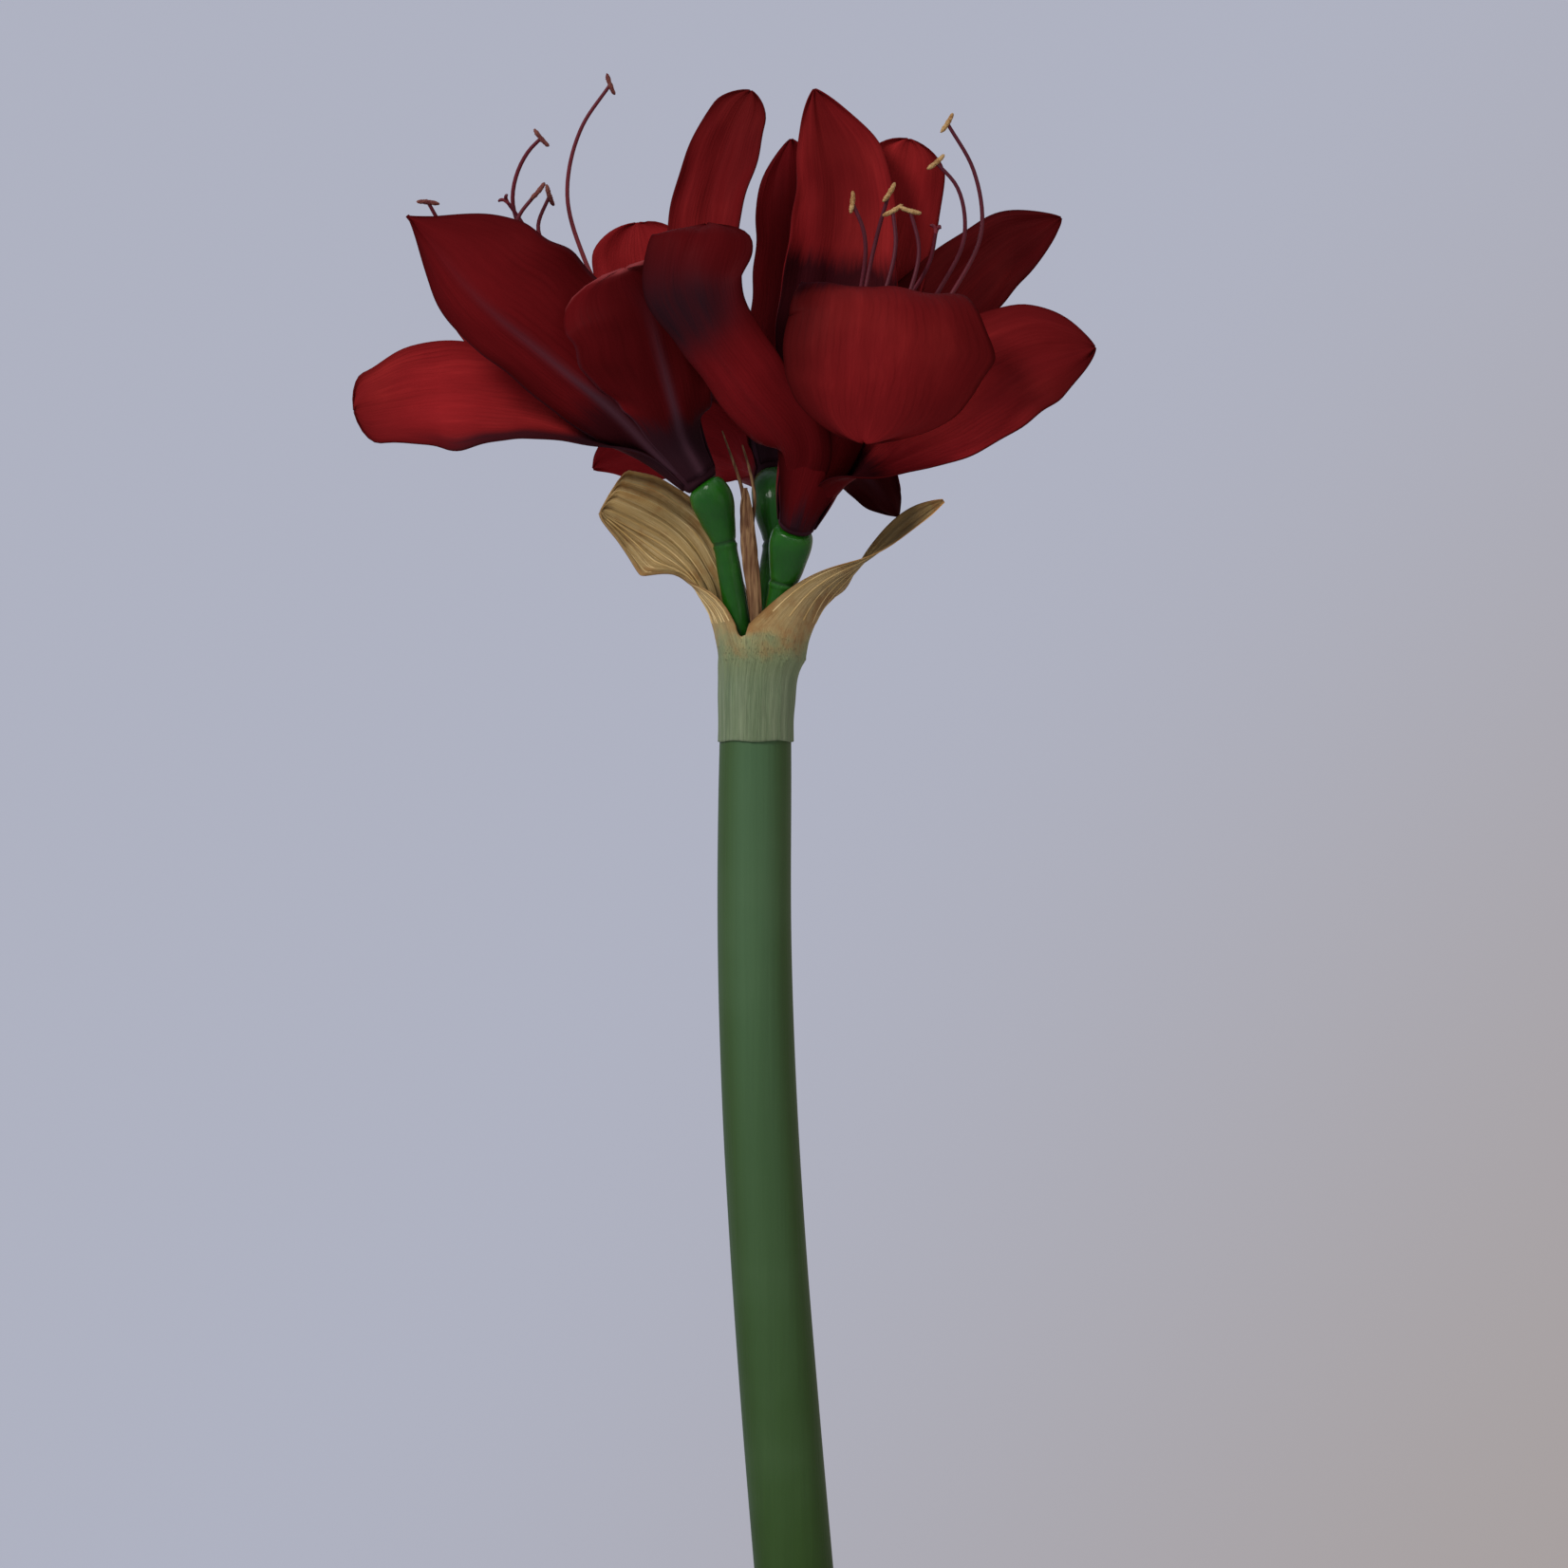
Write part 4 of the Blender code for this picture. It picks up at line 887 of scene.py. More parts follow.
def end_geometry_tree(tree, geometry, material):
    """Every tree ends by making copies real and by setting the material."""
    real = tree.node("GeometryNodeRealizeInstances", None, {"Geometry": geometry})
    dressed = tree.node("GeometryNodeSetMaterial", None, {"Geometry": real, "Material": material})
    tree.node_output = tree.inner.nodes.new("NodeGroupOutput")
    tree.feed(tree.node_output.inputs[0], dressed)


def sweep_tree():
    group, tree, start = new_geometry_tree("sweep_a_bar", (
        ("Sides", "NodeSocketInt", 8),
        ("Thickness", "NodeSocketFloat", 1.0),
        ("Material", "NodeSocketMaterial", None),
    ))
    curves = tree.node("GeometryNodeMeshToCurve", None, {"Mesh": start})
    radius = tree.node("GeometryNodeInputNamedAttribute", {"data_type": "FLOAT"}, {"Name": "radius"})
    share = tree.node("GeometryNodeSplineParameter")
    curves = tree.node("GeometryNodeStoreNamedAttribute", {"data_type": "FLOAT", "domain": "POINT"},
                       {"Geometry": curves, "Name": "along", "Value": share})
    ring = tree.node("GeometryNodeCurvePrimitiveCircle", None,
                     {"Resolution": start.part("Sides"), "Radius": 1.0})
    bars = tree.node("GeometryNodeCurveToMesh", None,
                     {"Curve": curves, "Profile Curve": ring, "Scale": radius * start.part("Thickness"),
                      "Fill Caps": True})
    smooth = tree.node("GeometryNodeSetShadeSmooth", None, {"Geometry": bars})
    end_geometry_tree(tree, smooth, start.part("Material"))
    return group


def set_inputs(modifier, values):
    """Sets a modifier's inputs by their names through the sockets' identifiers."""
    for item in modifier.node_group.interface.items_tree:
        if item.item_type == "SOCKET" and item.in_out == "INPUT" and item.name in values:
            modifier[item.identifier] = values[item.name]


def run_tree(name, mesh, group, values):
    """Runs a geometry tree on a mesh and gives an object with the plain mesh that it makes."""
    holder = bpy.data.objects.new(name, mesh)
    bpy.context.scene.collection.objects.link(holder)
    modifier = holder.modifiers.new("tree", "NODES")
    modifier.node_group = group
    set_inputs(modifier, values)
    depsgraph = bpy.context.evaluated_depsgraph_get()
    result = bpy.data.meshes.new_from_object(holder.evaluated_get(depsgraph))
    result.name = name
    holder.modifiers.clear()
    holder.data = result
    bpy.data.meshes.remove(mesh)
    return holder


def line_mesh(name, lines):
    """A mesh of edges. Each line is rows of (x, y, z, radius) in millimetres from the stem's top."""
    points = np.concatenate([np.asarray(line)[:, :3] for line in lines])
    radii = np.concatenate([np.asarray(line)[:, 3] for line in lines]) * MM
    edges = []
    start = 0
    for line in lines:
        edges += [(k, k + 1) for k in range(start, start + len(line) - 1)]
        start += len(line)
    mesh = bpy.data.meshes.new(name)
    mesh.from_pydata([tuple(p) for p in world(points)], edges, [])
    layer = mesh.attributes.new("radius", "FLOAT", "POINT")
    layer.data.foreach_set("value", radii.astype(np.float32))
    return mesh


def sweep(name, lines, sides, material, node, thickness=1.0):
    """Bars along lines as one finished piece."""
    made = run_tree(name, line_mesh(name, lines), sweep_bars,
                    {"Sides": sides, "Thickness": thickness, "Material": material})
    face_out(made)
    claim(made, node)
    return made


def face_out(made):
    """Makes the faces of closed shapes point outwards."""
    shell = bmesh.new()
    shell.from_mesh(made.data)
    bmesh.ops.remove_doubles(shell, verts=shell.verts[:], dist=1e-6)
    bmesh.ops.recalc_face_normals(shell, faces=shell.faces[:])
    shell.to_mesh(made.data)
    shell.free()
    made.data.shade_smooth()


sweep_bars = sweep_tree()
print("sweep tree has", len(sweep_bars.nodes), "nodes")

# %% [markdown]
# ## Stem finish
#
# The stem is thick, hollow and waxy, with long faint streaks and a grey bloom. Lower down it turns a
# yellower and deeper green. Its flanks, where the stem turns away from the front, get painted shade: a
# deeper olive and a little less brightness. The streaks are noise that is squeezed across and long in
# height. A flank is where the distance in y is small.

# %% Stem material
STEM_TOP = (0.060, 0.127, 0.052)
STEM_BOTTOM = (0.028, 0.068, 0.007)
STEM_PALE = (0.090, 0.160, 0.072)
# Painted shade: a deeper olive for the stem's flanks.
STEM_SHADED_OLIVE = (0.043, 0.086, 0.015)


def stem_finish():
    material, tree, shader = finish("stem_wax", Roughness=0.55, Specular_IOR_Level=0.22)
    place = tree.place()
    x, y, z = tree.split(place)
    streaks = tree.noise(tree.vector(x * 420.0, y * 420.0, z * 9.0), 1.0, 4.0, 0.6)
    clouds = tree.noise(place, 16.0, 3.0)
    height = z.step(0.20, 0.56)
    colour = tree.mix(height, STEM_BOTTOM, STEM_TOP)
    # Painted shade: the flanks, where the stem turns away from the front, get a deeper olive and lose a little
    # brightness.
    painted_flank_shade = (y * y).step(0.00016, 0.00005)
    colour = tree.mix(painted_flank_shade * 0.75, colour, tree.mix(height, STEM_BOTTOM, STEM_SHADED_OLIVE))
    colour = tree.mix(clouds.step(0.45, 0.8) * 0.35, colour, STEM_PALE)
    colour = tree.shade(colour, (0.90 - painted_flank_shade * 0.12) + streaks * 0.22)
    tree.feed(shader.inputs["Base Color"], colour)
    tree.feed(shader.inputs["Roughness"], 0.42 + streaks * 0.12 + clouds * 0.08)
    raise_surface(tree, shader, streaks + clouds * 0.4, 0.00025)
    return material


stem_wax = stem_finish()
print("stem material is ready")

# %% [markdown]
# ## Stem
#
# The stem bows under the heavy head and leans to the right on its way down to the vase's floor. The
# sweep tree makes it from nine stations. Its section is not quite round, but at this size a circle
# with 64 sides is close enough.

# %% Stem line
STEM_LINE = ((36.0, 0.0, -580.7), (24.6, 0.0, -458.0), (13.9, 0.0, -339.0), (8.1, 0.0, -271.0),
             (4.1, 0.0, -218.0), (1.0, 0.0, -165.0), (-0.7, 0.0, -112.0), (-0.5, 0.0, -46.0),
             (0.0, 0.0, -9.0))
STEM_RADII = (14.0, 13.8, 13.6, 13.4, 13.1, 12.9, 12.7, 12.4, 11.7)


def stem_rows(count, swell=0.0):
    stations = [(*point, radius + swell) for point, radius in zip(STEM_LINE, STEM_RADII)]
    return evenly(stations, count)


STEM_SWELL = 0.15
sweep("stem", [stem_rows(120, STEM_SWELL)], 64, stem_wax, "scape")

# %% [markdown]
# ## Flower stalks and ovaries
#
# Each bloom hangs on a short glossy stalk that swells into the ovary, a green capsule of three lobes
# with squared shoulders. A ring marks the joint between them. A plain sweep can't give the lobes, so
# this piece is a loft: each ring's radius changes with the angle.

# %% Stalk material
STALK_GREEN = (0.0050, 0.078, 0.0015)
STALK_PALE = (0.024, 0.165, 0.0060)
STALK_DEEP = (0.004, 0.034, 0.0025)


def stalk_finish():
    material, tree, shader = finish("stalk_gloss", Roughness=0.3, Specular_IOR_Level=0.2, Coat_Weight=0.24,
                                    Coat_Roughness=0.12)
    place = tree.place()
    around, along, ring = tree.split(tree.stored("stalk"))
    streaks = tree.noise(tree.vector(around * 26.0, along * 2.0, 0.0), 1.0, 4.0, 0.6)
    clouds = tree.noise(place, 60.0, 3.0)
    colour = tree.mix(clouds.step(0.4, 0.7) * 0.5, STALK_GREEN, STALK_PALE)
    colour = tree.mix(ring.step(0.2, 0.9) * 0.7, colour, STALK_DEEP)
    colour = tree.shade(colour, 0.8 + streaks * 0.4)
    tree.feed(shader.inputs["Base Color"], colour)
    tree.feed(shader.inputs["Roughness"], 0.18 + clouds * 0.16)
    raise_surface(tree, shader, streaks * 0.6 + clouds, 0.0004)
    return material


stalk_gloss = stalk_finish()

# %% Stalk geometry
PEDICELS = {
    "left": (((-5.0, -3.0, -12.0), (-7.2, -4.0, 6.0), (-9.6, -4.8, 20.0), (-11.2, -5.2, 29.0),
              (-13.2, -5.4, 36.5)),
             (4.6, 4.3, 4.2, 4.2, 6.2, 7.5, 6.4)),
    "right": (((5.5, -4.0, -12.0), (6.6, -5.2, 2.0), (8.6, -6.0, 11.0), (9.4, -7.0, 15.5),
               (10.6, -8.6, 21.0)),
              (4.6, 4.6, 4.7, 5.0, 6.3, 7.6, 7.0)),
    "back": (((1.5, 5.0, -12.0), (3.6, 5.6, 8.0), (5.4, 6.2, 22.0), (6.4, 6.8, 29.0),
              (6.8, 7.8, 37.0)),
             (4.6, 4.3, 4.2, 4.3, 6.9, 7.6, 6.4)),
}
SHOULDER_DEPTH = {"left": 4.6, "right": 4.0, "back": 6.5}

GAP = 0.3
JOINT_AT = {"left": 29.0, "right": 15.5, "back": 29.0}
STALK_RINGS = 90
STALK_SIDES = 48


def stalk_frame(middle):
    """Two sides for each ring of a stalk, square to its line."""
    tangent = unit(np.gradient(middle, axis=0))
    side = unit(np.cross(tangent, (0.0, 1.0, 0.0)))
    return side, np.cross(side, tangent)


def make_stalks():
    points, faces, stored = [], [], []
    for side, (line, radii) in PEDICELS.items():
        bloom = BLOOMS[side]
        axis, _, _ = axis_frame(bloom)
        top = np.array(bloom["base"]) - axis * 1.5 * GAP
        line = (*line, tuple(top - axis * SHOULDER_DEPTH[side]), tuple(top))
        rows = evenly([(*point, radius) for point, radius in zip(line, radii)], STALK_RINGS)
        middle, radius = rows[:, :3], rows[:, 3]
        right, near = stalk_frame(middle)
        height = middle[:, 2]
        past_joint = height - JOINT_AT[side]
        ovary = soft(1.0, 8.0, past_joint)
        groove = np.exp(-((past_joint / 0.7) ** 2))
        collar = np.exp(-(((past_joint + 1.3) / 0.8) ** 2))
        from_top = np.linalg.norm(middle - middle[-1], axis=1)
        shoulder = np.sqrt(np.clip(1.0 - (1.0 - np.clip(from_top / 2.2, 0.0, 1.0)) ** 2, 0.0, 1.0))
        radius = radius * (0.80 + 0.20 * shoulder) - 0.35 * groove + 0.30 * collar
        start = len(points)
        for i in range(STALK_RINGS):
            for k in range(STALK_SIDES):
                turn = 2 * math.pi * k / STALK_SIDES
                lobes = 1.0 + ovary[i] * (0.035 * math.cos(3 * turn + 0.6) - 0.02)
                out = right[i] * math.cos(turn) + near[i] * math.sin(turn)
                points.append(middle[i] + out * radius[i] * lobes)
                stored.append((math.cos(turn) * 2.0, i / 10.0, groove[i]))
        for i in range(STALK_RINGS - 1):
            for k in range(STALK_SIDES):
                j = (k + 1) % STALK_SIDES
                a, b = start + i * STALK_SIDES, start + (i + 1) * STALK_SIDES
                faces.append((a + k, a + j, b + j, b + k))
        faces.append(tuple(range(start, start + STALK_SIDES))[::-1])
        last = start + (STALK_RINGS - 1) * STALK_SIDES
        faces.append(tuple(range(last, last + STALK_SIDES)))
    made = piece("flower_stalks", world(points), faces, stalk_gloss, "scape",
                 {"stalk": stored})
    face_out(made)


make_stalks()

# %% [markdown]
# ## Sheath finish
#
# The sheath once wrapped the whole bud. Now it is paper: the sleeve that still clasps the stem is pale
# green with close upright ribs, and the two valves above it have dried to tan. Near the join the skin
# is wrinkled, and its creases get painted shade. The far end of the right valve and the top of the
# left valve get painted light. The mesh stores where a point is round the stem and how high it is.

# %% Sheath material
SLEEVE_PALE = (0.330, 0.400, 0.225)
SLEEVE_GREEN = (0.190, 0.260, 0.130)
COLLAR_OLIVE = (0.290, 0.335, 0.145)
PAPER_TAN = (0.500, 0.320, 0.105)
PAPER_AMBER = (0.400, 0.180, 0.045)
PAPER_LIGHT = (0.690, 0.510, 0.240)


def sheath_finish():
    material, tree, shader = finish("dry_paper", Roughness=0.6, Specular_IOR_Level=0.3)
    around, height, edge = tree.split(tree.stored("sheath"))
    streaks = tree.noise(tree.vector(around * 60.0, height * 0.05, 0.0), 1.0, 5.0, 0.65)
    ribs = (around * 260.0 + tree.noise(tree.vector(around * 12.0, height * 0.1, 3.0), 1.0) * 5.0).sine()
    clouds = tree.noise(tree.place(), 90.0, 4.0, 0.6)
    broad = tree.noise(tree.vector(around * 9.0, height * 0.02, 5.0), 1.0, 3.0, 0.6)
    sleeve = tree.mix((streaks * 0.5 + broad * 0.5).step(0.38, 0.62), SLEEVE_GREEN, SLEEVE_PALE)
    sleeve = tree.mix(height.step(-22.0, -8.0) * 0.7, sleeve, COLLAR_OLIVE)
    paper = tree.mix(streaks.step(0.35, 0.7), PAPER_TAN, PAPER_LIGHT)
    paper = tree.mix(clouds.step(0.45, 0.70) * 0.75, paper, PAPER_AMBER)
    dried = (height * 0.1 + (clouds - 0.5) * 3.4).step(-1.3, 0.3)
    colour = tree.mix(dried, sleeve, paper)
    band = (height + 9.0) * 0.22
    wrinkle = (1.0 - band * band).step(0.0, 0.8)
    crease = tree.noise(tree.vector(around * 30.0, height * 0.9, 1.0), 1.0, 3.0).step(0.55, 0.68)
    # Painted shade in the creases of the wrinkled band near the join.
    colour = tree.shade(colour, 1.0 - wrinkle * crease * 0.22)
    colour = tree.mix(edge * 0.6, colour, PAPER_AMBER)
    x, _, _ = tree.split(tree.place())
    # Painted light: the far end of the right valve past its twist and the top of the left valve are made brighter,
    # as light through thin paper.
    painted_valve_light = height.step(21.0, 29.0) * x.step(0.030, 0.040) * 1.9
    painted_valve_light = painted_valve_light + height.step(38.0, 47.0) * x.step(-0.020, -0.030) * 0.55
    colour = tree.shade(colour, 0.95 + ribs * 0.07 + painted_valve_light)
    tree.feed(shader.inputs["Base Color"], colour)
    tree.feed(shader.inputs["Roughness"], 0.5 + streaks * 0.2)
    raise_surface(tree, shader, ribs * 0.25 + streaks + wrinkle * crease * 0.8, 0.0004)
    return material


dry_paper = sheath_finish()
print("sheath material is ready")

# %% [markdown]
# ## Sheath
#
# One sheet makes the sleeve and both valves, because on the plant they are one skin that has split.
# Rings of points follow the sleeve, and each valve goes on from its half of the last ring, by the
# blade rule. The left valve is pleated like a fan. A Solidify modifier gives the sheet its wall.

# %% Sheath geometry
SLEEVE = ((-40.0, -0.3, 13.4), (-28.0, -0.1, 13.3), (-16.0, 0.7, 13.9), (-10.5, 1.8, 15.2),
          (-6.0, 1.9, 15.8))
SEAM_FRONT = -113.0
SEAM_BACK = 80.0
PLEATS = 4
LEFT_COLUMNS = 73
RIGHT_COLUMNS = 57
SLEEVE_RINGS = 44
SHEATH_WALL = 0.4
SLEEVE_CLASP = 0.45
JOIN_REACH = 5.0
JOIN_ROUNDS = 25
TWIST_ROUNDING = 60

LEFT_VALVE = (
    at((-16.0, 3.0, 4.0), (0.95, -0.20, 0.25), 15, 20, 75),
    at((-21.0, 6.0, 16.0), (0.60, -0.70, 0.40), 7, 17, 42),
    at((-31.0, 9.0, 27.0), (0.25, -0.85, 0.40), 17, 20, 20),
    at((-43.0, 9.0, 34.0), (0.10, -0.90, 0.35), 9, 21, 12),
    at((-54.5, 7.0, 40.0), (0.05, -0.95, 0.30), 2, 17, 10),
)
RIGHT_VALVE = (
    at((19.0, -4.0, 2.0), (-0.90, 0.30, 0.20), 17, 21, 80),
    at((27.0, -9.5, 14.5), (-0.30, 0.80, 0.50), 9, 9, 20),
    at((36.0, -8.0, 20.5), (-0.45, 0.10, 0.85), 4, 4, 45),
    at((44.5, -5.0, 28.5), (-0.35, -0.80, 0.50), 4, 4, 35),
    at((54.0, -3.0, 37.5), (-0.35, -0.85, 0.45), 5, 4, 25),
    at((65.0, -1.0, 43.5), (-0.35, -0.85, 0.45), 3, 3, 10),
)


def ring_point(height, centre, radius, degrees):
    angle = math.radians(degrees)
    return (centre + radius * math.cos(angle), radius * math.sin(angle), height)


def valve(stations, angles, tip, pleats):
    """A valve's rows of points, from the sleeve's rim to its end."""
    height, centre, radius = SLEEVE[-1]
    middle = (angles[0] + angles[-1]) / 2
    half_span = abs(angles[0] - angles[-1]) / 2
    half_width = radius * math.radians(half_span)
    inward = unit((-math.cos(math.radians(middle)), -math.sin(math.radians(middle)), 0.0))
    first = at(ring_point(height, centre, radius, middle), inward, half_width, half_width, half_span)
    sheet, across, along, to_margin = blade((first, *stations), 1.3, len(angles), tip, 0.0,
                                            pleats=pleats, crinkle=0.25)
    for _ in range(0 if pleats else TWIST_ROUNDING):
        sheet[1:-1] = (sheet[:-2] + 2 * sheet[1:-1] + sheet[2:]) / 4
    return sheet, across, along, to_margin


def sleeve_rows(angles):
    """The sleeve's points above each angle, row by row, with a slightly uneven lower edge."""
    rows = []
    stations = [(0.0, 0.0, height, centre, radius) for height, centre, radius in SLEEVE]
    for _, _, height, centre, radius in evenly(stations, SLEEVE_RINGS):
        row = []
        for degrees in angles:
            turn = math.radians(degrees)
            ripple = 0.10 * math.sin(23 * turn + 0.1 * height) + 0.06 * math.sin(41 * turn)
            ripple -= SLEEVE_CLASP * float(soft(-22.0, -36.0, height))
            sag = 0.25 * math.sin(5 * turn) * max(0.0, (-37.0 - height) / 3.0)
            bulge = 0.5 * math.exp(-(((height + 10.0) / 2.5) ** 2)) * math.sin(7 * turn + 1.0)
            row.append(ring_point(height + sag, centre, radius + ripple + bulge, degrees))
        rows.append(row)
    return np.array(rows)


def soften_join(made):
    """Smooths the skin where the valves go on from the sleeve."""
    rim_height = (SLEEVE[-1][0] + HEAD[2]) * MM
    skin = bmesh.new()
    skin.from_mesh(made.data)
    near_join = [v for v in skin.verts if abs(v.co.z - rim_height) < JOIN_REACH * MM]
    for _ in range(JOIN_ROUNDS):
        bmesh.ops.smooth_vert(skin, verts=near_join, factor=0.5, use_axis_x=True, use_axis_y=True,
                              use_axis_z=True)
    skin.to_mesh(made.data)
    skin.free()
    made.data.shade_smooth()


def make_sheath():
    left_span = 360.0 - (SEAM_BACK - SEAM_FRONT)
    left_angles = np.linspace(SEAM_FRONT, SEAM_FRONT - left_span, LEFT_COLUMNS)
    right_angles = np.linspace(SEAM_BACK, SEAM_FRONT, RIGHT_COLUMNS)
    ring_angles = np.concatenate((left_angles[:-1], right_angles[:-1]))
    columns = len(ring_angles)
    points = [tuple(p) for row in sleeve_rows(ring_angles) for p in row]
    stored = [(math.radians(a), 0.0, 0.0) for a in ring_angles] * SLEEVE_RINGS
    faces = []
    for i in range(SLEEVE_RINGS - 1):
        for j in range(columns):
            k = (j + 1) % columns
            a, b = i * columns, (i + 1) * columns
            faces.append((a + j, a + k, b + k, b + j))
    rim = list(range((SLEEVE_RINGS - 1) * columns, SLEEVE_RINGS * columns))
    ribs = []
    for edge, angles, stations, tip, pleats in (
        (rim[:LEFT_COLUMNS], left_angles, LEFT_VALVE, 3.0, PLEATS),
        (rim[LEFT_COLUMNS - 1:] + rim[:1], right_angles, RIGHT_VALVE, 6.0, 0),
    ):
        sheet, _, along, to_margin = valve(stations, angles, tip, pleats)
        ribs.append(sheet)
        below = edge
        for i in range(1, len(sheet)):
            above = list(range(len(points), len(points) + len(angles)))
            points += [tuple(p) for p in sheet[i]]
            edge_line = np.exp(-to_margin[i] / 0.8)
            stored += [(math.radians(a), 0.0, e) for a, e in zip(angles, edge_line)]
            faces += [(below[j], below[j + 1], above[j + 1], above[j]) for j in range(len(angles) - 1)]
            below = above
    stored = [(around, point[2], edge) for (around, _, edge), point in zip(stored, points)]
    made = piece("sheath_skin", world(points), faces, dry_paper, "sheath",
                 {"sheath": stored})
    soften_join(made)
    wall = made.modifiers.new("wall", "SOLIDIFY")
    wall.thickness = SHEATH_WALL * MM
    wall.offset = 0.0
    return ribs


valve_sheets = make_sheath()

# %% [markdown]
# ## Ribs of the valves
#
# Dry valves show their veins as fine raised threads that fan out from the sleeve. Each thread follows
# one column of the valve's own points, and the sweep tree turns all of them into one mesh. They stand
# out by a tenth of a millimetre on both faces.

# %% Ribs
RIB_RADIUS = 0.36


def rib_lines():
    lines = []
    for sheet, spacing, end in zip(valve_sheets, (4, 8), (0.75, 0.35)):
        for column in range(4, sheet.shape[1] - 4, spacing):
            line = sheet[6:-4:2, column]
            taper = np.linspace(1.0, end, len(line)) * RIB_RADIUS
            lines.append(np.column_stack((line, taper)))
    return lines


def rib_finish():
    material, tree, shader = finish("dry_rib", Roughness=0.6, Specular_IOR_Level=0.3)
    clouds = tree.noise(tree.place(), 110.0, 3.0)
    tree.feed(shader.inputs["Base Color"], tree.mix(clouds.step(0.35, 0.7), PAPER_TAN, PAPER_LIGHT))
    tree.feed(shader.inputs["Roughness"], 0.5 + clouds * 0.2)
    return material


sweep("valve_ribs", rib_lines(), 6, rib_finish(), "sheath")

# %% [markdown]
# ## Inner bract and threads
#
# A narrow brown bract stands between the flower stalks, and thinner dry threads stand behind it. They
# are shrivelled leaflets of the bud. The bract is a small blade, and the threads are swept bars.

# %% Bract
INNER_BRACT = (
    at((0.6, -8.4, -8.6), (0.0, 1.0, 0.0), 1.4, 1.4, 25),
    at((-0.6, -9.0, 9.0), (0.0, 1.0, 0.0), 2.4, 2.4, 25),
    at((-2.6, -8.6, 26.0), (0.1, 1.0, 0.1), 2.8, 2.8, 20),
    at((-3.6, -6.5, 40.0), (0.1, 1.0, 0.1), 2.2, 2.2, 20),
    at((-4.0, -6.0, 48.0), (0.1, 1.0, 0.1), 1.6, 1.6, 10),
)

BRACT_THREADS = (
    ((-4.2, -5.0, 40.0, 0.8), (-5.0, -4.4, 47.0, 0.7), (-7.0, -3.0, 54.0, 0.55), (-9.5, -1.0, 61.0, 0.4),
     (-12.0, 1.0, 68.0, 0.25)),
    ((-1.6, -4.8, 34.0, 0.7), (-0.8, -3.6, 46.0, 0.6), (-2.6, -2.0, 55.0, 0.5), (-5.0, 0.0, 63.0, 0.3)),
)


def bract_finish():
    material, tree, shader = finish("dry_bract", Roughness=0.7, Specular_IOR_Level=0.25)
    x, y, z = tree.split(tree.place())
    streaks = tree.noise(tree.vector(x * 900.0, y * 900.0, z * 60.0), 1.0, 4.0)
    colour = tree.mix(streaks.step(0.35, 0.7), (0.105, 0.040, 0.014), (0.300, 0.170, 0.075))
    tree.feed(shader.inputs["Base Color"], colour)
    tree.feed(shader.inputs["Roughness"], 0.6 + streaks * 0.2)
    raise_surface(tree, shader, streaks, 0.0004)
    return material


bract_brown = bract_finish()


def make_bract():
    sheet, _, _, _ = blade(INNER_BRACT, 1.0, 13, 8.0, 0.5, crinkle=0.15)
    points, faces = closed_sheet(sheet, np.full(sheet.shape[:2], 0.6))
    piece("inner_bract_skin", world(points), faces, bract_brown, "inner_bract")
    threads = [evenly(line, 30) for line in BRACT_THREADS]
    sweep("bract_threads", threads, 8, bract_brown, "inner_bract")


make_bract()

# %% [markdown]
# ## Stamens and styles
#
# Six long filaments curve up out of each throat and end in anthers that hang by their middle, like a
# letter T. On the left bloom they are dark red all over; on the right one the anthers have opened and
# are dusty with tan pollen. The filaments and styles are swept bars through chosen bends.

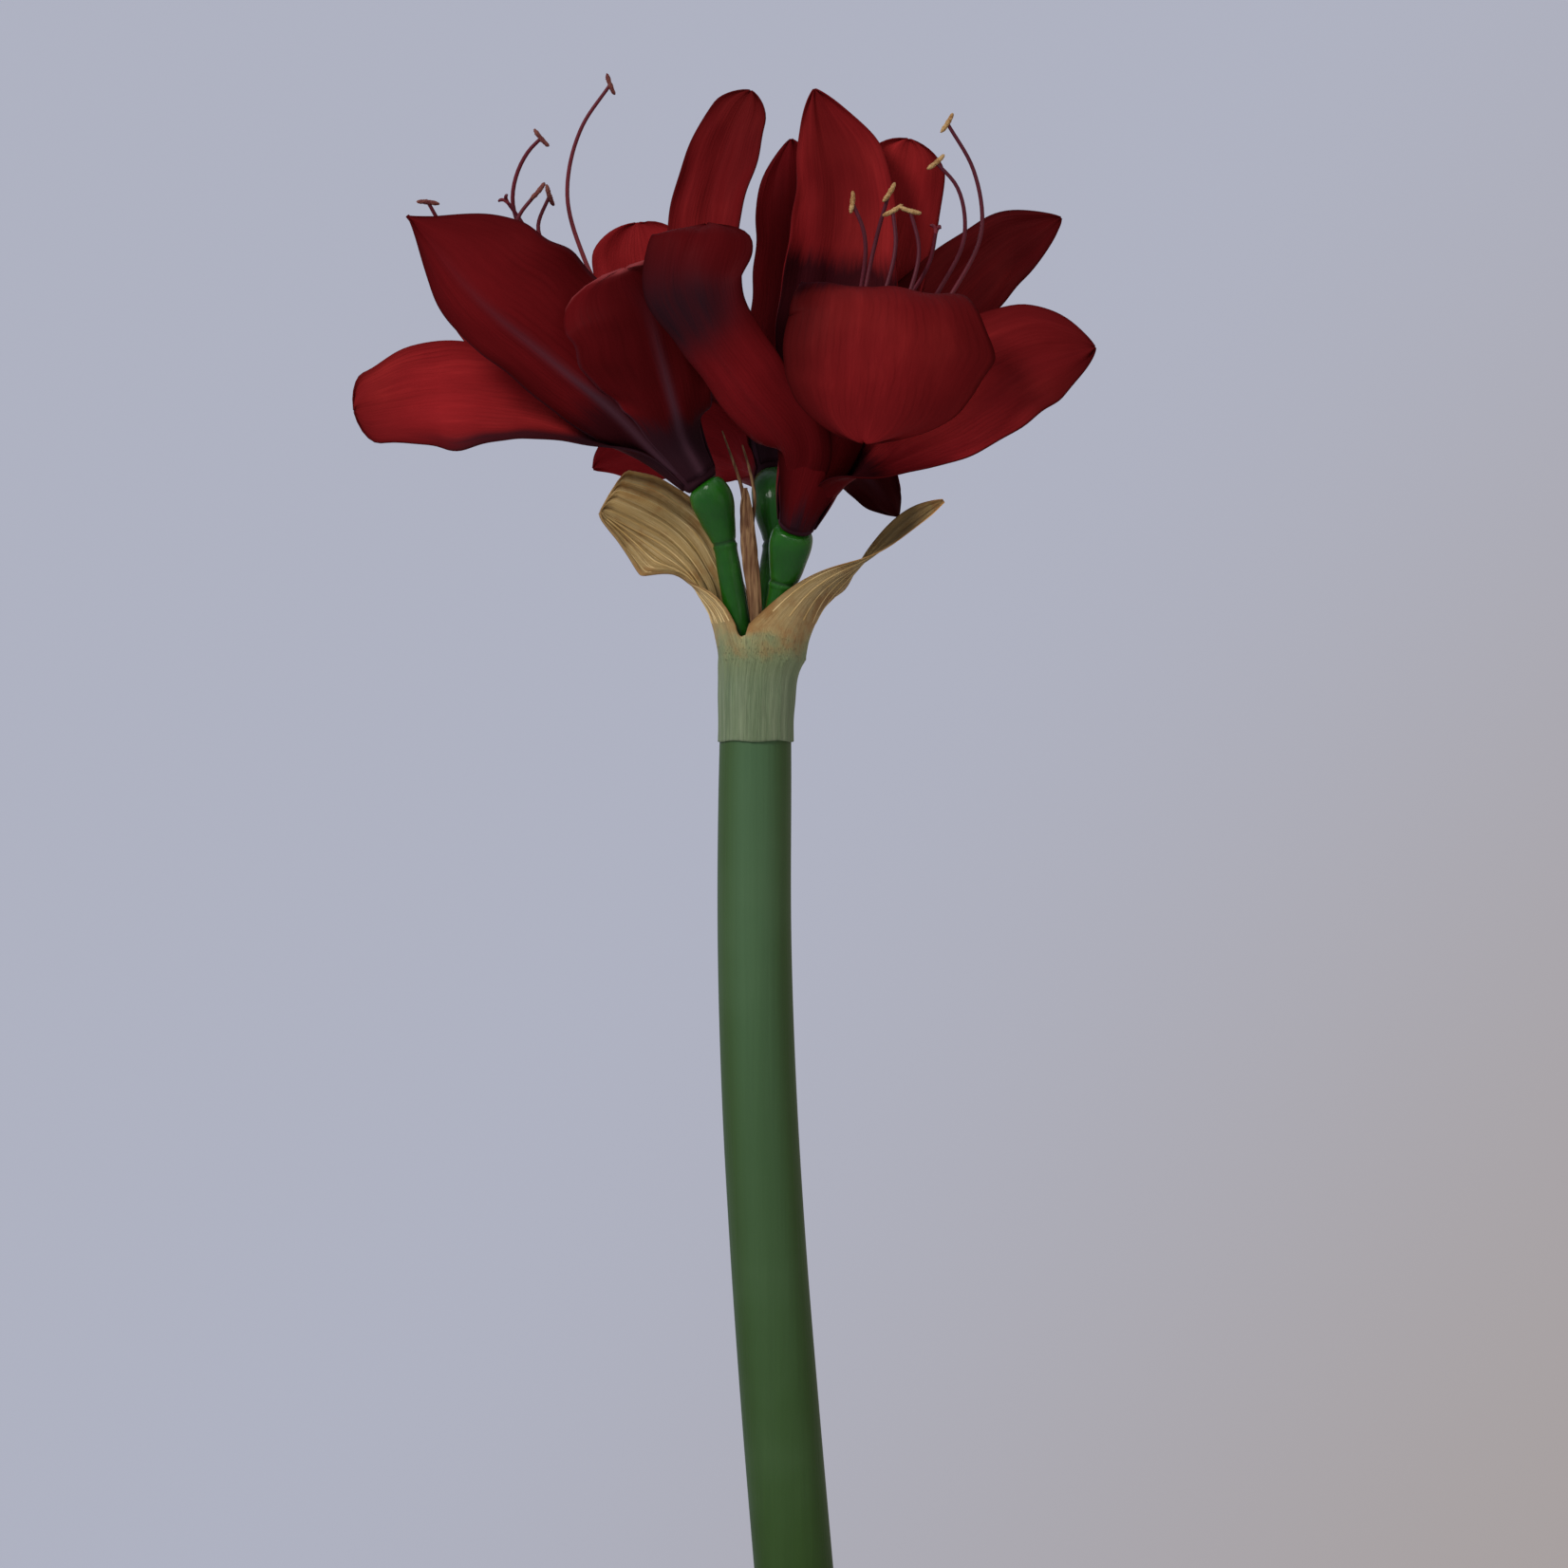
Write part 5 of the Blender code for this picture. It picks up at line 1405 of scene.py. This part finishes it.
# %% Stamen bends
STAMENS = {
    "left": (
        (((-48, -4, 98), (-68, 0, 124), (-76, 2, 139), (-72, 3, 150)), (0.3, 0.1, -0.9)),
        (((-46, 6, 102), (-60, 9, 128), (-66, 10, 150), (-61, 10, 174), (-51, 10, 189)), (0.3, 0.1, -0.8)),
        (((-58, 10, 110), (-80, 10, 134), (-85, 8, 148), (-79, 6, 166), (-75, 5, 170)), (0.6, 0.1, -0.7)),
        (((-62, 14, 104), (-80, 16, 120), (-94, 16, 128)), (-0.6, 0.1, 0.6)),
        (((-68, 6, 106), (-90, 0, 132), (-109, -4, 139), (-114, -6, 147)), (-1.0, -0.1, 0.1)),
        (((-56, -3, 96), (-74, -1, 124), (-83, -3, 141), (-76, -3, 151)), (0.5, 0.1, 0.6)),
        (((-57, 3, 102), (-74, 4, 126), (-82, 3, 141), (-87, 2, 148)), None),
    ),
    "right": (
        (((40, -33, 84), (52, -34, 112), (56, -32, 130), (53, -30, 143)), (0.7, 0.1, -0.2)),
        (((46, -30, 82), (66, -24, 112), (78, -18, 138), (75, -16, 158), (66, -16, 174)), (0.5, 0.1, 0.8)),
        (((42, -23, 86), (62, -22, 114), (72, -24, 136), (69, -24, 152), (62, -24, 160)), (0.7, 0.1, 0.6)),
        (((34, -20, 90), (38, -14, 118), (43, -14, 140), (46, -16, 150)), (0.5, 0.1, 0.8)),
        (((26, -26, 88), (36, -26, 116), (37, -28, 136), (33, -28, 146)), (0.1, 0.1, 1.0)),
        (((32, -35, 88), (44, -34, 114), (48, -32, 132), (47, -30, 143)), (0.7, 0.1, 0.4)),
        (((37, -29, 86), (52, -28, 112), (60, -30, 126), (62, -32, 136)), None),
    ),
    "back": (
        (((15, 50, 80), (19, 76, 92), (20, 98, 106)), (0.2, 0.4, 0.9)),
        (((21, 52, 74), (28, 78, 82), (32, 104, 94)), (0.2, 0.4, 0.9)),
        (((15, 56, 68), (18, 82, 72), (20, 110, 84)), (0.2, 0.4, 0.9)),
        (((3, 56, 67), (0, 82, 72), (-2, 108, 84)), (0.2, 0.4, 0.9)),
        (((-3, 52, 72), (-10, 76, 80), (-14, 100, 92)), (0.2, 0.4, 0.9)),
        (((3, 50, 79), (-2, 74, 90), (-4, 96, 102)), (0.2, 0.4, 0.9)),
        (((9, 54, 74), (9, 86, 80), (8, 118, 94)), None),
    ),
}

CUP_HEIGHT = 7.0
COLLAR_RADIUS = 3.9
FILAMENT_RADIUS = 0.80
STYLE_RADIUS = 0.75

# %% Filaments and styles
FILAMENT_LOW = (0.230, 0.040, 0.045)
FILAMENT_HIGH = (0.105, 0.010, 0.018)


def filament_finish(name, low, high):
    """A thread that changes its colour from the throat up to its end."""
    material, tree, shader = finish(name, Roughness=0.4, Specular_IOR_Level=0.15)
    along = tree.node("ShaderNodeAttribute", {"attribute_name": "along"}, None, "Fac")
    specks = tree.noise(tree.place(), 700.0, 2.0)
    colour = tree.shade(tree.mix(along.step(0.3, 1.0), low, high), 0.8 + specks * 0.4)
    tree.feed(shader.inputs["Base Color"], colour)
    tree.feed(shader.inputs["Roughness"], 0.34 + specks * 0.14)
    return material


def seat_of(bloom):
    axis, _, _ = axis_frame(bloom)
    return np.array(bloom["base"]) + axis * (CUP_HEIGHT + GAP), axis


def filament_lines(side):
    bloom = BLOOMS[side]
    seat, axis = seat_of(bloom)
    lines = []
    for index, (bends, _) in enumerate(STAMENS[side][:6]):
        out = outwards(bloom, 30 + 60 * index)
        foot = seat + axis * 0.8 + out * (COLLAR_RADIUS - 1.1)
        rise = seat + axis * 16.0 + out * COLLAR_RADIUS
        line = (tuple(foot), tuple(rise), *bends)
        thick = np.linspace(1.2, 0.8, len(line)) * FILAMENT_RADIUS
        lines.append(evenly([(*point, radius) for point, radius in zip(line, thick)], 60))
    return lines


def style_lines(side):
    """The style and the three short lobes of its stigma."""
    bloom = BLOOMS[side]
    seat, axis = seat_of(bloom)
    bends = STAMENS[side][6][0]
    line = (tuple(seat), tuple(seat + axis * 16.0), *bends)
    thick = np.linspace(1.15, 0.85, len(line)) * STYLE_RADIUS
    lines = [evenly([(*point, radius) for point, radius in zip(line, thick)], 60)]
    tip = np.array(bends[-1], dtype=float)
    forward = unit(tip - np.array(bends[-2]))
    across = unit(np.cross(forward, (0.0, 1.0, 0.2)))
    for k in range(3):
        angle = 2 * math.pi * k / 3
        out = across * math.cos(angle) + np.cross(forward, across) * math.sin(angle)
        lobe = ((*(tip - forward), 0.6), (*(tip + forward * 0.9 + out * 0.7), 0.62),
                (*(tip + forward * 1.5 + out * 1.8), 0.55), (*(tip + forward * 1.4 + out * 2.5), 0.3))
        lines.append(evenly(lobe, 14))
    return lines


red_thread = filament_finish("filament_red", FILAMENT_LOW, FILAMENT_HIGH)
pink_thread = filament_finish("filament_pink", (0.150, 0.018, 0.024), (0.085, 0.013, 0.022))
style_thread = filament_finish("style_red", (0.200, 0.030, 0.040), (0.085, 0.008, 0.016))
for side in BLOOMS:
    thread = red_thread if side == "left" else pink_thread
    sweep(side + "_filaments", filament_lines(side), 12, thread, "stamens_" + side)
    sweep(side + "_style", style_lines(side), 12, style_thread, "pistil_" + side)

# %% [markdown]
# ## Anthers
#
# An anther is a slim bar of two lobes with a groove between them, slightly bowed, with rounded ends.
# Each ring of points has its radius from the length, and two lobes from a cosine of twice the angle.

# %% Anther geometry
ANTHER_LENGTH = 8.0
ANTHER_RADIUS = 1.3
ANTHER_BOW = 0.3


def anther(centre, direction):
    """One anther's points and faces. It is bowed away from its filament."""
    along = unit(direction)
    side = unit(np.cross(along, (0.0, 1.0, 0.1)))
    up = np.cross(side, along)
    rings, sides = 26, 20
    points = []
    for i in range(rings):
        t = math.cos(math.pi * i / (rings - 1))
        radius = ANTHER_RADIUS * max(0.02, (1.0 - t**4) ** 0.5)
        bow = -ANTHER_BOW * (1.0 - t * t)
        middle = np.array(centre) + along * (t * ANTHER_LENGTH / 2) + side * (bow + ANTHER_BOW / 2)
        for k in range(sides):
            turn = 2 * math.pi * k / sides
            lobed = radius * (0.80 + 0.20 * math.cos(2 * turn) + 0.05 * math.sin(9.0 * t))
            points.append(middle + (up * math.cos(turn) + side * math.sin(turn)) * lobed)
    faces = []
    for i in range(rings - 1):
        for k in range(sides):
            j = (k + 1) % sides
            faces.append((i * sides + k, i * sides + j, (i + 1) * sides + j, (i + 1) * sides + k))
    faces.append(tuple(range(sides)))
    faces.append(tuple(range((rings - 1) * sides, rings * sides)))
    return points, faces


def anther_finish(name, body, dust):
    material, tree, shader = finish(name, Roughness=0.75, Specular_IOR_Level=0.2)
    grain = tree.noise(tree.place(), 1400.0, 3.0)
    clouds = tree.noise(tree.place(), 260.0, 2.0)
    tree.feed(shader.inputs["Base Color"], tree.mix((grain * 0.5 + clouds * 0.5).step(0.4, 0.6), body, dust))
    tree.feed(shader.inputs["Roughness"], 0.65 + grain * 0.2)
    raise_surface(tree, shader, grain, 0.0005)
    return material


dark_anther = anther_finish("anther_dark", (0.110, 0.020, 0.022), (0.190, 0.060, 0.045))
tan_anther = anther_finish("anther_tan", (0.300, 0.140, 0.045), (0.520, 0.330, 0.140))


def make_anthers(side):
    points, faces = [], []
    for bends, direction in STAMENS[side][:6]:
        some_points, some_faces = anther(bends[-1], direction)
        shift = len(points)
        points += some_points
        faces += [tuple(v + shift for v in face) for face in some_faces]
    dress = dark_anther if side == "left" else tan_anther
    made = piece(side + "_anthers", world(points), faces, dress, "stamens_" + side)
    face_out(made)
    return made


anthers = {side: make_anthers(side) for side in BLOOMS}

# %% [markdown]
# ## Pollen
#
# Open anthers carry loose grains. A geometry tree scatters points over the anthers with a fixed seed
# and puts a small round grain of twenty faces on each. Realize Instances makes the grains real.

# %% Pollen tree
def pollen_tree():
    group, tree, start = new_geometry_tree("scatter_pollen", (
        ("Grain radius", "NodeSocketFloat", 0.00016),
        ("Grains per square metre", "NodeSocketFloat", 1500000.0),
        ("Seed", "NodeSocketInt", 7),
        ("Material", "NodeSocketMaterial", None),
    ))
    spots = tree.node("GeometryNodeDistributePointsOnFaces", None,
                      {"Mesh": start, "Density": start.part("Grains per square metre"),
                       "Seed": start.part("Seed")})
    grain = tree.node("GeometryNodeMeshIcoSphere", None,
                      {"Radius": start.part("Grain radius"), "Subdivisions": 1})
    size = tree.node("FunctionNodeRandomValue", {"data_type": "FLOAT"}, {2: 0.6, 3: 1.2, "Seed": 5}, 1)
    grains = tree.node("GeometryNodeInstanceOnPoints", None,
                       {"Points": spots, "Instance": grain, "Scale": size})
    end_geometry_tree(tree, grains, start.part("Material"))
    return group


def make_pollen(side, tree):
    dust, shader_tree, shader = finish(side + "_pollen_dust", Roughness=0.8, Specular_IOR_Level=0.2)
    speck = shader_tree.noise(shader_tree.place(), 2500.0, 1.0)
    low, high = ((0.20, 0.06, 0.04), (0.33, 0.13, 0.08))
    if side != "left":
        low, high = ((0.42, 0.24, 0.08), (0.62, 0.42, 0.19))
    shader_tree.feed(shader.inputs["Base Color"], shader_tree.mix(speck.step(0.3, 0.7), low, high))
    seeds = {"left": 7, "right": 8, "back": 9}
    made = run_tree(side + "_pollen", anthers[side].data.copy(), tree, {
        "Grain radius": 0.00016, "Grains per square metre": 1500000.0, "Seed": seeds[side],
        "Material": dust})
    claim(made, "stamens_" + side)


scatter_pollen = pollen_tree()
for side in BLOOMS:
    make_pollen(side, scatter_pollen)

# %% [markdown]
# ## Vase
#
# The photograph ends above the vase, so this one is plain: a bottle whose neck just fits the stem. It
# is a turned shape, so its outline is given once and swept round a circle. The tree takes the outline
# as a line of edges, and the number of steps round is a named input. The glaze is satin and warm grey,
# with small iron specks and the faint rings that a potter's fingers leave.

# %% Vase outline
VASE_WALL = 4.0
VASE_FLOOR = 7.0
VASE_HEIGHT = 250.0
VASE_NECK_HEIGHT = 238.0
VASE_LIP = 3.0
VASE_SHOULDER = ((0.0, 43.0), (30.0, 53.0), (76.0, 59.0), (122.0, 53.0), (168.0, 38.0), (205.0, 27.5))


def vase_outline():
    """The vase's section as (radius, height) pairs, from the floor's middle round to the underside."""
    rows = stem_rows(200)
    stem_x = np.interp(VASE_NECK_HEIGHT, rows[:, 2] + HEAD[2], rows[:, 0]) + HEAD[0]
    stem_radius = np.interp(VASE_NECK_HEIGHT, rows[:, 2] + HEAD[2], rows[:, 3])
    neck = abs(stem_x) + stem_radius + GAP + VASE_WALL
    knots = [(0.0, 0.0, z, r) for z, r in VASE_SHOULDER]
    knots += [(0.0, 0.0, VASE_NECK_HEIGHT, neck), (0.0, 0.0, VASE_HEIGHT, neck + VASE_LIP)]
    outside = [(row[3], row[2]) for row in evenly(knots, 90)]
    inside = [(r - VASE_WALL, z) for r, z in outside if z > VASE_FLOOR + VASE_WALL]
    lip = []
    for k in range(9):
        turn = math.pi * k / 8
        centre = outside[-1][0] - VASE_WALL / 2
        lip.append((centre - math.cos(turn) * VASE_WALL / 2,
                    VASE_HEIGHT - VASE_WALL / 2 + math.sin(turn) * VASE_WALL / 2))
    top = VASE_HEIGHT - VASE_WALL / 2
    inside = [(r, z) for r, z in inside if z < top - 0.5]
    falling = [(r, z) for r, z in reversed(outside) if 2.0 < z < top - 0.5]
    foot = outside[0][0]
    under = [(foot + 0.1, 1.4), (foot - 0.4, 0.5), (foot - 1.5, 0.0), (foot - 6.0, 0.0), (0.02, 0.0)]
    start = [(0.02, VASE_FLOOR), (inside[0][0] - VASE_WALL, VASE_FLOOR)]
    return start + inside + lip + falling + under


def turning_tree():
    group, tree, start = new_geometry_tree("turn_a_vase", (
        ("Steps round", "NodeSocketInt", 96),
        ("Material", "NodeSocketMaterial", None),
    ))
    outline = tree.node("GeometryNodeMeshToCurve", None, {"Mesh": start})
    wheel = tree.node("GeometryNodeCurvePrimitiveCircle", None,
                      {"Resolution": start.part("Steps round"), "Radius": 0.00001})
    clay = tree.node("GeometryNodeCurveToMesh", None,
                     {"Curve": wheel, "Profile Curve": outline, "Fill Caps": False})
    smooth = tree.node("GeometryNodeSetShadeSmooth", None, {"Geometry": clay})
    end_geometry_tree(tree, smooth, start.part("Material"))
    return group


GLAZE = (0.480, 0.445, 0.390)
GLAZE_THIN = (0.330, 0.270, 0.205)
IRON = (0.075, 0.045, 0.028)
BARE_CLAY = (0.300, 0.215, 0.150)


def glaze_finish():
    material, tree, shader = finish("satin_glaze", Roughness=0.35, Coat_Weight=0.2, Coat_Roughness=0.25)
    place = tree.place()
    x, y, z = tree.split(place)
    clouds = tree.noise(place, 14.0, 4.0, 0.6)
    specks = tree.noise(place, 420.0, 1.0).step(0.70, 0.76)
    rings = (z * 900.0 + clouds * 5.0).sine()
    bare = (0.004 - z).step(0.0, 0.0015)
    colour = tree.mix(clouds.step(0.4, 0.75) * 0.5, GLAZE, GLAZE_THIN)
    colour = tree.mix(specks * 0.8, colour, IRON)
    colour = tree.mix(bare, colour, BARE_CLAY)
    tree.feed(shader.inputs["Base Color"], colour)
    tree.feed(shader.inputs["Roughness"], 0.30 + clouds * 0.15 + bare * 0.4)
    raise_surface(tree, shader, rings * 0.12 + clouds, 0.0008)
    return material


def make_vase():
    outline = vase_outline()
    mesh = bpy.data.meshes.new("vase_outline")
    mesh.from_pydata([(r * MM, -z * MM, 0.0) for r, z in outline], [(k, k + 1) for k in range(len(outline) - 1)], [])
    made = run_tree("bottle_vase", mesh, turning_tree(), {"Steps round": 96, "Material": glaze_finish()})
    face_out(made)
    claim(made, "vase")
    low = np.min([v.co for v in made.data.vertices], axis=0)
    high = np.max([v.co for v in made.data.vertices], axis=0)
    print("vase from", np.round(low, 4), "to", np.round(high, 4))


make_vase()

# %% [markdown]
# ## Water
#
# The water keeps its plain solid, since it only shows through the neck. It gets a clear finish with a
# faint green tint from the stem and a little unevenness on its surface.

# %% Water material
def water_finish():
    material, tree, shader = finish("vase_water", Roughness=0.05, Transmission_Weight=0.9, IOR=1.33)
    clouds = tree.noise(tree.place(), 30.0, 2.0)
    tree.feed(shader.inputs["Base Color"], tree.mix(clouds, (0.75, 0.85, 0.82), (0.60, 0.74, 0.66)))
    tree.feed(shader.inputs["Roughness"], 0.03 + clouds * 0.05)
    raise_surface(tree, shader, clouds, 0.0006)
    return material


water_clear = water_finish()
for holder in frame["nodes"]["water"].material_slots:
    holder.material = water_clear
print("water is dressed")
